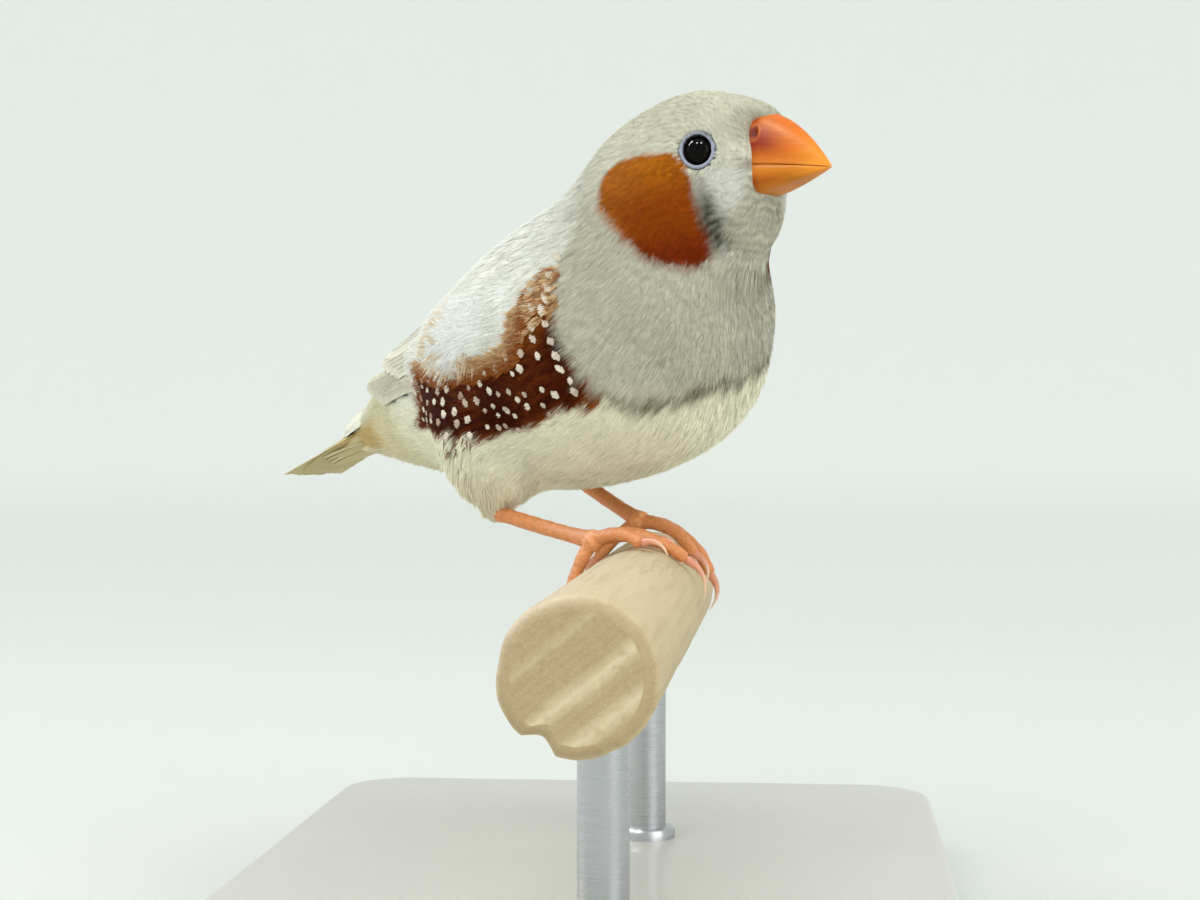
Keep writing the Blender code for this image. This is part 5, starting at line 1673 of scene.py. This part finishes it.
def make_leg(foot, material):
    """Tarsus, hub and four toes of one foot."""
    pile = Pile()
    hub = round_perch(*FEET[foot]["hub"])
    heel = posed(np.array(FEET[foot]["heel"]))
    x = np.linspace(-0.12, 1.0, 130)
    path = heel - (heel - hub) * x[:, None]
    bow = np.array((0.0, 0.0, 1.0)) * (0.25 * np.sin(math.pi * np.clip(x, 0.0, 1.0)))[:, None]
    size = TARSUS_SHOWN * TARSUS_RADIUS * (1.0 + 0.16 * soft(x, 0.12, -0.1) + 0.24 * soft(x, 0.78, 1.0))
    scaly_tube(pile, path - 0.4 * bow, size, (0.0, 1.0, 0.3), TARSUS_PLATES, 28, 31, LEG)
    # the hub, a soft knot of skin
    polar, turn = ball_angles(26, 28, 0.01)
    out = joined(np.sin(polar) * np.cos(turn), np.cos(polar), np.sin(polar) * np.sin(turn))
    wrinkled = 1.0 + 0.05 * waves(out * 3.0, 1.6, 33)
    knot = hub + HUB_RADIUS * HUB_SHOWN * out * wrinkled[..., None]
    add_tube(pile, knot, mix(LEG, LEG_PALE, 0.4 * soft(wrinkled, 1.0, 1.05)))
    parts = np.linspace(0.0, 1.0, 96)
    taper = 1.0 - 0.18 * parts
    knuckle = 1.0 + 0.10 * bell(parts, 0.93, 0.06) + 0.25 * soft(parts, 0.15, 0.0)
    end = 1.0 - 0.45 * soft(parts, 0.96, 1.0)
    size = TOE_SHOWN * TOE_RADIUS * taper * knuckle * end
    for index in range(4):
        scaly_tube(pile, toe_path(foot, index, parts), size, (0.0, 1.0, 0.0), TOE_PLATES[index],
                   22, 40 + index, TOE, pads=TOE_PADS[index])
    pile.make("leg_" + foot, material, ("tarsus_" + foot, "foot_" + foot))


def make_claws(foot, material):
    """The four claws of one foot, each curved down to a point."""
    pile = Pile()
    nodes = []
    x = np.linspace(0.0, 1.0, 40)
    angle = round_angles(16)
    for index, digit in enumerate(("inner", "middle", "outer", "hind")):
        # the toe's tip, and the places before and behind its last joint
        joint = (TOE_SCUTES[index] - 1) / TOE_SCUTES[index]
        beside = SCUTE_GAP / TOE_SCUTES[index]
        before, behind, tip = toe_path(foot, index, np.array((joint - beside, joint + beside, 1.0)))
        start = tip - unit(tip - behind) * 0.15
        offset = start - np.array((PERCH_X, 0.0, PERCH_Z))
        start_angle = math.degrees(math.atan2(offset[2], offset[0]))
        start_radius = math.hypot(offset[0], offset[2])
        if digit == "hind" and start_angle < 0.0:
            start_angle += 360.0
        end_angle = FEET[foot]["claws"][index]
        reach = PERCH_RADIUS + GAP + 0.12
        height = start_radius + (reach - start_radius) * x ** 1.5 + 0.55 * np.sin(math.pi * x)
        side = start[1] + (tip[1] - before[1]) * 0.5 * x
        path = round_perch(start_angle + (end_angle - start_angle) * x, height, side)
        across, over = tube_frame(path, (0.0, 1.0, 0.0))
        size = CLAW_RADIUS * (1.06 - 0.98 * x ** 0.85) * (1.0 - 0.25 * soft(x, 0.08, 0.0))
        wheel = across[:, None] * np.cos(angle)[:, None] + 0.8 * over[:, None] * np.sin(angle)[:, None]
        rings = path[:, None] + size[:, None, None] * wheel
        colour = mix(CLAW_ROOT, CLAW_TIP, np.broadcast_to(soft(x, 0.2, 0.9)[:, None], rings.shape[:2]))
        core = soft(np.abs(np.sin(angle)), 0.5, 0.1)[None] * soft(x, 0.7, 0.3)[:, None]
        add_tube(pile, rings, mix(colour, CLAW_CORE, 0.55 * core))
        nodes.append("claw_" + foot + "_" + digit)
    pile.make("claws_" + foot, material, nodes)


# ================================================================ perch and stand
WOOD_SIDE = tone(196, 176, 138)
WOOD_END = tone(172, 149, 112)
WOOD_BAND = tone(206, 189, 154)
WOOD_CRACK = tone(170, 136, 92)
BAND_TURN = math.radians(38.0)              # slope of the growth bands over the cut ends
BASE_TONE = tone(196, 194, 188)
STEEL = tone(186, 187, 190)
# Fine cracks in the dowel's top: degrees round it, y from and to, degrees that they wander
CRACKS = (
    (64.0, -18.0, 9.0, 1.5), (83.0, -5.0, 14.0, 1.0), (48.0, -2.0, 30.0, 2.0), (118.0, -40.0, -22.0, 1.2),
)
WOOD_DARK_GRAIN = tone(146, 116, 76)
WOOD_PALE_GRAIN = tone(208, 190, 154)


def make_dowel(material):
    """Cut dowel: facets and dents, its groove, rounded bevels and fine cracks in the top."""
    pile = Pile()
    sides, lengths, discs = 220, 240, 60
    angle = np.linspace(0.0, 360.0, sides, endpoint=False)[None]
    turn = np.radians(angle)
    half = 0.5 * PERCH_LENGTH
    bevel = np.linspace(0.0, 0.5 * math.pi, 9)
    ends = half - PERCH_BEVEL * (1.0 - np.sin(bevel))
    inset = PERCH_BEVEL * (1.0 - np.cos(bevel))
    between = np.linspace(-half + PERCH_BEVEL, half - PERCH_BEVEL, lengths)[1:-1]
    y = np.concatenate((-ends[::-1], between, ends))[:, None]
    cut = np.concatenate((inset[::-1], np.zeros(len(between)), inset))[:, None]
    inside = np.clip(1.0 - np.abs(angle - GROOVE_ANGLE) / GROOVE_HALF_ANGLE, 0.0, 1.0)
    where = joined(PERCH_RADIUS * np.cos(turn), y * 0.12, PERCH_RADIUS * np.sin(turn))
    radius = PERCH_RADIUS - GROOVE_DEPTH * np.sin(0.5 * math.pi * inside) * np.ones_like(y)
    radius = radius + 0.05 * waves(where, 5.0, 51) + 0.025 * waves(where, 1.6, 52)
    radius = radius - 0.10 * np.abs(np.cos(3.0 * turn + 0.4)) ** 8
    crack = np.zeros_like(radius)
    for place, start, stop, wander in CRACKS:
        line = place + wander * np.sin(0.35 * y + place)
        off = (angle - line) * math.radians(1.0) * PERCH_RADIUS
        one = bell(off, 0.0, 0.09) * soft(y, start, start + 3.0) * soft(y, stop, stop - 3.0)
        crack = np.maximum(crack, one)
    radius = radius - 0.12 * crack - cut
    rings = joined(PERCH_X + radius * np.cos(turn), PERCH_MIDDLE_Y + y, PERCH_Z + radius * np.sin(turn))
    fresh = soft(cut, 0.02, 0.5) * np.ones_like(radius)
    colour = mix(np.broadcast_to(WOOD_SIDE, rings.shape), WOOD_END, fresh)
    colour = mix(colour, WOOD_CRACK, 0.4 * crack)
    rows = len(rings)
    pile.add(rings, colour, sheet_faces(rows, sides, closed=True))
    # cut ends: rings of points with growth bands across them
    faces = sheet_faces(discs, sides, closed=True)
    for row, sign in ((0, -1.0), (rows - 1, 1.0)):
        share = np.linspace(1.0, 0.02, discs)[:, None, None]
        middle = np.array((PERCH_X, rings[row, 0, 1], PERCH_Z))
        disc = middle + (rings[row][None] - middle) * share
        flat_x, flat_z = disc[..., 0] - PERCH_X, disc[..., 2] - PERCH_Z
        across = flat_z * math.cos(BAND_TURN) - flat_x * math.sin(BAND_TURN)
        bands = bell(across + 1.0 + 0.12 * np.sin(flat_x), 0.0, 0.75)
        bands = bands + bell(across, -4.4, 0.8) + 0.35 * bell(across, 3.4, 0.5)
        fine = 0.5 + 0.5 * np.sin(across * 9.0 + 0.8 * waves(disc, 4.0, 53))
        disc[..., 1] += sign * (0.04 * waves(disc, 1.2, 54) - 0.03) * np.clip(1.0 - share[..., 0], 0.0, 1.0)
        tint = mix(np.broadcast_to(WOOD_END, disc.shape), WOOD_BAND, np.clip(bands, 0.0, 1.0))
        tint = tint * (1.0 - 0.06 * fine)[..., None]
        pile.add(disc, tint, faces if sign > 0.0 else faces[:, ::-1])
        pile.cap(disc[-1], tint[-1].mean(axis=0), middle)
    pile.make("dowel", material, ("perch",))


def make_stand(base_look, rod_look):
    """Base plate with rounded edges, and the two rods that carry the perch."""
    pile = Pile()
    top = BASE_SIZE[2]
    x, y = (0.5 * size - BASE_CORNER_RADIUS for size in BASE_SIZE[:2])
    outline = []
    for corner, middle in enumerate(((x, y), (-x, y), (-x, -y), (x, -y))):
        for turn in np.linspace(0.5 * math.pi * corner, 0.5 * math.pi * (corner + 1), 16):
            outline.append((*middle, math.cos(turn), math.sin(turn)))
    outline = np.array(outline)
    profile = [(0.35, 0.0), (0.0, 0.35)]
    for turn in np.linspace(0.0, 0.5 * math.pi, 9):
        inset, drop = (BASE_EDGE_ROUND * (1.0 - share) for share in (math.cos(turn), math.sin(turn)))
        profile.append((inset, top - drop))
    rings = []
    for inset, height in profile:
        flat = outline[:, :2] + (BASE_CORNER_RADIUS - inset) * outline[:, 2:]
        rings.append(np.column_stack((flat, np.full(len(flat), height))))
    add_tube(pile, rings, BASE_TONE)
    pile.make("base_plate", base_look, ("stand_base",))
    # each rod stands in a turned foot and ends in the hollow of the perch
    saddle = PERCH_Z - math.sqrt(PERCH_RADIUS ** 2 - ROD_RADIUS ** 2)
    rod = (
        (3.6, top - 0.2), (3.6, top + 0.9), (3.45, top + 1.15), (3.1, top + 1.3), (ROD_RADIUS, top + 1.35),
        (ROD_RADIUS, saddle - 0.4), (ROD_RADIUS, saddle + 0.3),
    )
    for word, sign in (("front", -1.0), ("rear", 1.0)):
        y = PERCH_MIDDLE_Y + sign * 0.5 * ROD_SPACING
        pile = Pile()
        add_tube(pile, [level_ring(PERCH_X, y, *ring, round_angles(48)) for ring in rod], STEEL)
        thing = pile.make("rod_" + word, rod_look, ("stand_rod_" + word,))
        thing.data.set_sharp_from_angle(angle=math.radians(35.0))


# ================================================================ stage
CAMERA_PLACE = (23.33, -238.97, 57.39)
CAMERA_TILT = 89.14
CAMERA_YAW = 5.45
CAMERA_LENS = 66.0
STAGE_TONE = tone(206, 210, 206)
STAGE_GLOW_TONE = tone(227, 232, 228)
STAGE_GLOW = 0.32
STAGE_FLOOR = (5.0, 200.0, 600.0, 1000.0, 1300.0)  # radii of the floor's rings
STAGE_RISE = 900.0                          # radius of the curve from the floor to the wall
STAGE_HEIGHT = 2600.0
# Small lights that the near eye mirrors: where on it (millimetres forward and up), and their size
CATCH_LIGHTS = ((-0.62, 0.92, 0.13), (-0.86, 0.66, 0.08), (0.1, 0.76, 0.085), (0.56, 0.75, 0.085))
CATCH_DISTANCE = 600.0
CATCH_POWER = 420.0                         # for a light of one square metre


def make_stage():
    """Pale floor that rises all round into a pale, faintly glowing wall."""
    look = Look("studio", 0.9, tinted=False)
    look.colour.default_value = (*STAGE_TONE, 1.0)
    look.shader.inputs["Emission Color"].default_value = (*STAGE_GLOW_TONE, 1.0)
    where = look.node("TexCoord", {}).outputs["Object"]
    away = look.node("VectorMath", {0: where}, operation="LENGTH").outputs["Value"]
    look.link(look.ranged(away, 0.0, STAGE_GLOW, 0.35, 1.5), look.shader.inputs["Emission Strength"])
    sides = 96
    profile = [(radius, 0.0) for radius in STAGE_FLOOR]
    for a in np.linspace(0.1, 0.5 * math.pi, 16):
        profile.append((STAGE_FLOOR[-1] + STAGE_RISE * math.sin(a), STAGE_RISE * (1.0 - math.cos(a))))
    profile.append((STAGE_FLOOR[-1] + STAGE_RISE, STAGE_HEIGHT))
    rings = [level_ring(0.0, 0.0, *ring, round_angles(sides)) for ring in profile]
    points = np.concatenate((*rings, ((0.0, 0.0, 0.0),))) * MM
    faces = [tuple(int(i) for i in face) for face in sheet_faces(len(rings), sides, closed=True)]
    faces += [(len(points) - 1, s, (s + 1) % sides) for s in range(sides)]
    mesh = bpy.data.meshes.new("studio_floor")
    mesh.from_pydata([tuple(p) for p in points], [], faces)
    mesh.shade_smooth()
    mesh.materials.append(look.material)
    floor = bpy.data.objects.new("studio_floor", mesh)
    bpy.context.scene.collection.objects.link(floor)


def add_light(name, place, target, size, power, colour=(1.0, 1.0, 1.0)):
    """A soft, square light."""
    light = bpy.data.lights.new(name, "AREA")
    light.shape = "RECTANGLE"
    light.size = light.size_y = size
    light.energy = power
    light.color = colour
    thing = bpy.data.objects.new(name, light)
    bpy.context.scene.collection.objects.link(thing)
    place, target = np.array(place), np.array(target)
    forward = unit(target - place)
    side = unit(np.cross(forward, (0.0, 0.0, 1.0)))
    basis = np.column_stack((side, np.cross(side, forward), -forward))
    rows = [[*basis[i], place[i]] for i in range(3)]
    thing.matrix_world = mathutils.Matrix(rows + [[0.0, 0.0, 0.0, 1.0]])
    return thing


def add_catch_lights():
    """Small bright lights, where the near eye mirrors them toward the camera."""
    axis, fore, up, centre = eye_frame(-1.0)
    for index, (ahead, above, size) in enumerate(CATCH_LIGHTS):
        out = ahead * fore + above * up
        out = out + axis * math.sqrt(EYE_RADIUS ** 2 - out @ out)
        spot = on_head(centre + out)
        normal = unit(spot - on_head(centre))
        view = unit(np.array(CAMERA_PLACE) - spot)
        away = 2.0 * (normal @ view) * normal - view
        place = (spot + CATCH_DISTANCE * away) * MM
        light = add_light(f"catch_{index}", place, spot * MM, size, CATCH_POWER * size ** 2)
        light.visible_diffuse = False


def make_lights():
    """Soft, even daylight from above and a little ahead."""
    scene = bpy.context.scene
    world = bpy.data.worlds.new("studio_air")
    scene.world = world
    world.use_nodes = True
    back = world.node_tree.nodes["Background"]
    back.inputs["Color"].default_value = (0.95, 0.97, 1.0, 1.0)
    back.inputs["Strength"].default_value = 0.62
    middle = (0.0, 0.0, 0.06)
    key = add_light("key", (-0.45, -0.85, 1.0), middle, 1.3, 8.0, (1.0, 0.985, 0.95))
    key.visible_glossy = False
    add_light("top", (0.1, 0.1, 1.3), middle, 1.2, 6.4, (1.0, 1.0, 0.99))
    add_light("fill", (0.9, -0.65, 0.45), middle, 0.8, 4.2, (0.98, 0.99, 1.0))
    add_catch_lights()
    scene.view_settings.view_transform = "Standard"


def make_camera():
    """The camera, at the photographed angle."""
    data = bpy.data.cameras.new("camera")
    data.lens = CAMERA_LENS
    data.sensor_width = 36.0
    data.clip_start = 0.01
    data.clip_end = 50.0
    thing = bpy.data.objects.new("camera", data)
    thing.location = [c * MM for c in CAMERA_PLACE]
    thing.rotation_euler = (math.radians(CAMERA_TILT), 0.0, math.radians(CAMERA_YAW))
    bpy.context.scene.collection.objects.link(thing)
    bpy.context.scene.camera = thing


# ================================================================ build
# Pieces of the coat: name, tufts, stations, barbs in a tuft, slot
COATS = (
    ("coat_face", 9400, (7.2, LAST + 0.3), 7, "plumage_head"),
    ("coat_crown", 9400, (5.9, 7.3), 7, "plumage_head"),
    ("coat_neck", 9400, (4.9, 6.0), 7, "plumage_head"),
    ("coat_breast", 9400, (3.6, 5.0), 7, "plumage_body"),
    ("coat_belly", 8200, (2.3, 3.7), 8, "plumage_body"),
    ("coat_rump", 7800, (0.0, 2.4), 8, "plumage_body"),
)
SIDES = ((1.0, "left"), (-1.0, "right"))


def build():
    """Every piece of the dressed model."""
    body = plumage_material("plumage_body")
    head = plumage_material("plumage_head")
    wing = plumage_material("plumage_wing")
    make_skin(body)
    for index, (name, count, t_range, strands, slot) in enumerate(COATS):
        look = head if name in ("coat_face", "coat_crown") else body
        coat_piece(name, count, t_range, 100 + index, look, strands)
    for index, (side, word) in enumerate(SIDES):
        flank_details(side, word, 210 + index, body)
        white_tuft(side, word, 220 + index, body)
        make_wing(side, word, wing, 230 + index)
    make_tail(wing)
    eye_look = eye_material("eye")
    ring_look = leg_material("eye_ring", tone(172, 178, 190))
    bill_look = horn_material("bill", 0.42, 0.14)
    claw_look = horn_material("claw", 0.36, 0.4)
    leg_look = leg_material("leg", tone(236, 172, 112))
    for side, word in SIDES:
        make_eye(side, word, eye_look, ring_look)
        make_leg(word, leg_look)
        make_claws(word, claw_look)
    make_bill(True, "bill_top", "bill_upper", bill_look)
    make_bill(False, "bill_bottom", "bill_lower", bill_look)
    make_dowel(wood_material("perch_wood"))
    make_stand(lacquer_material("base_paint"), steel_material("rod_steel"))
    make_stage()
    make_lights()
    make_camera()


build()
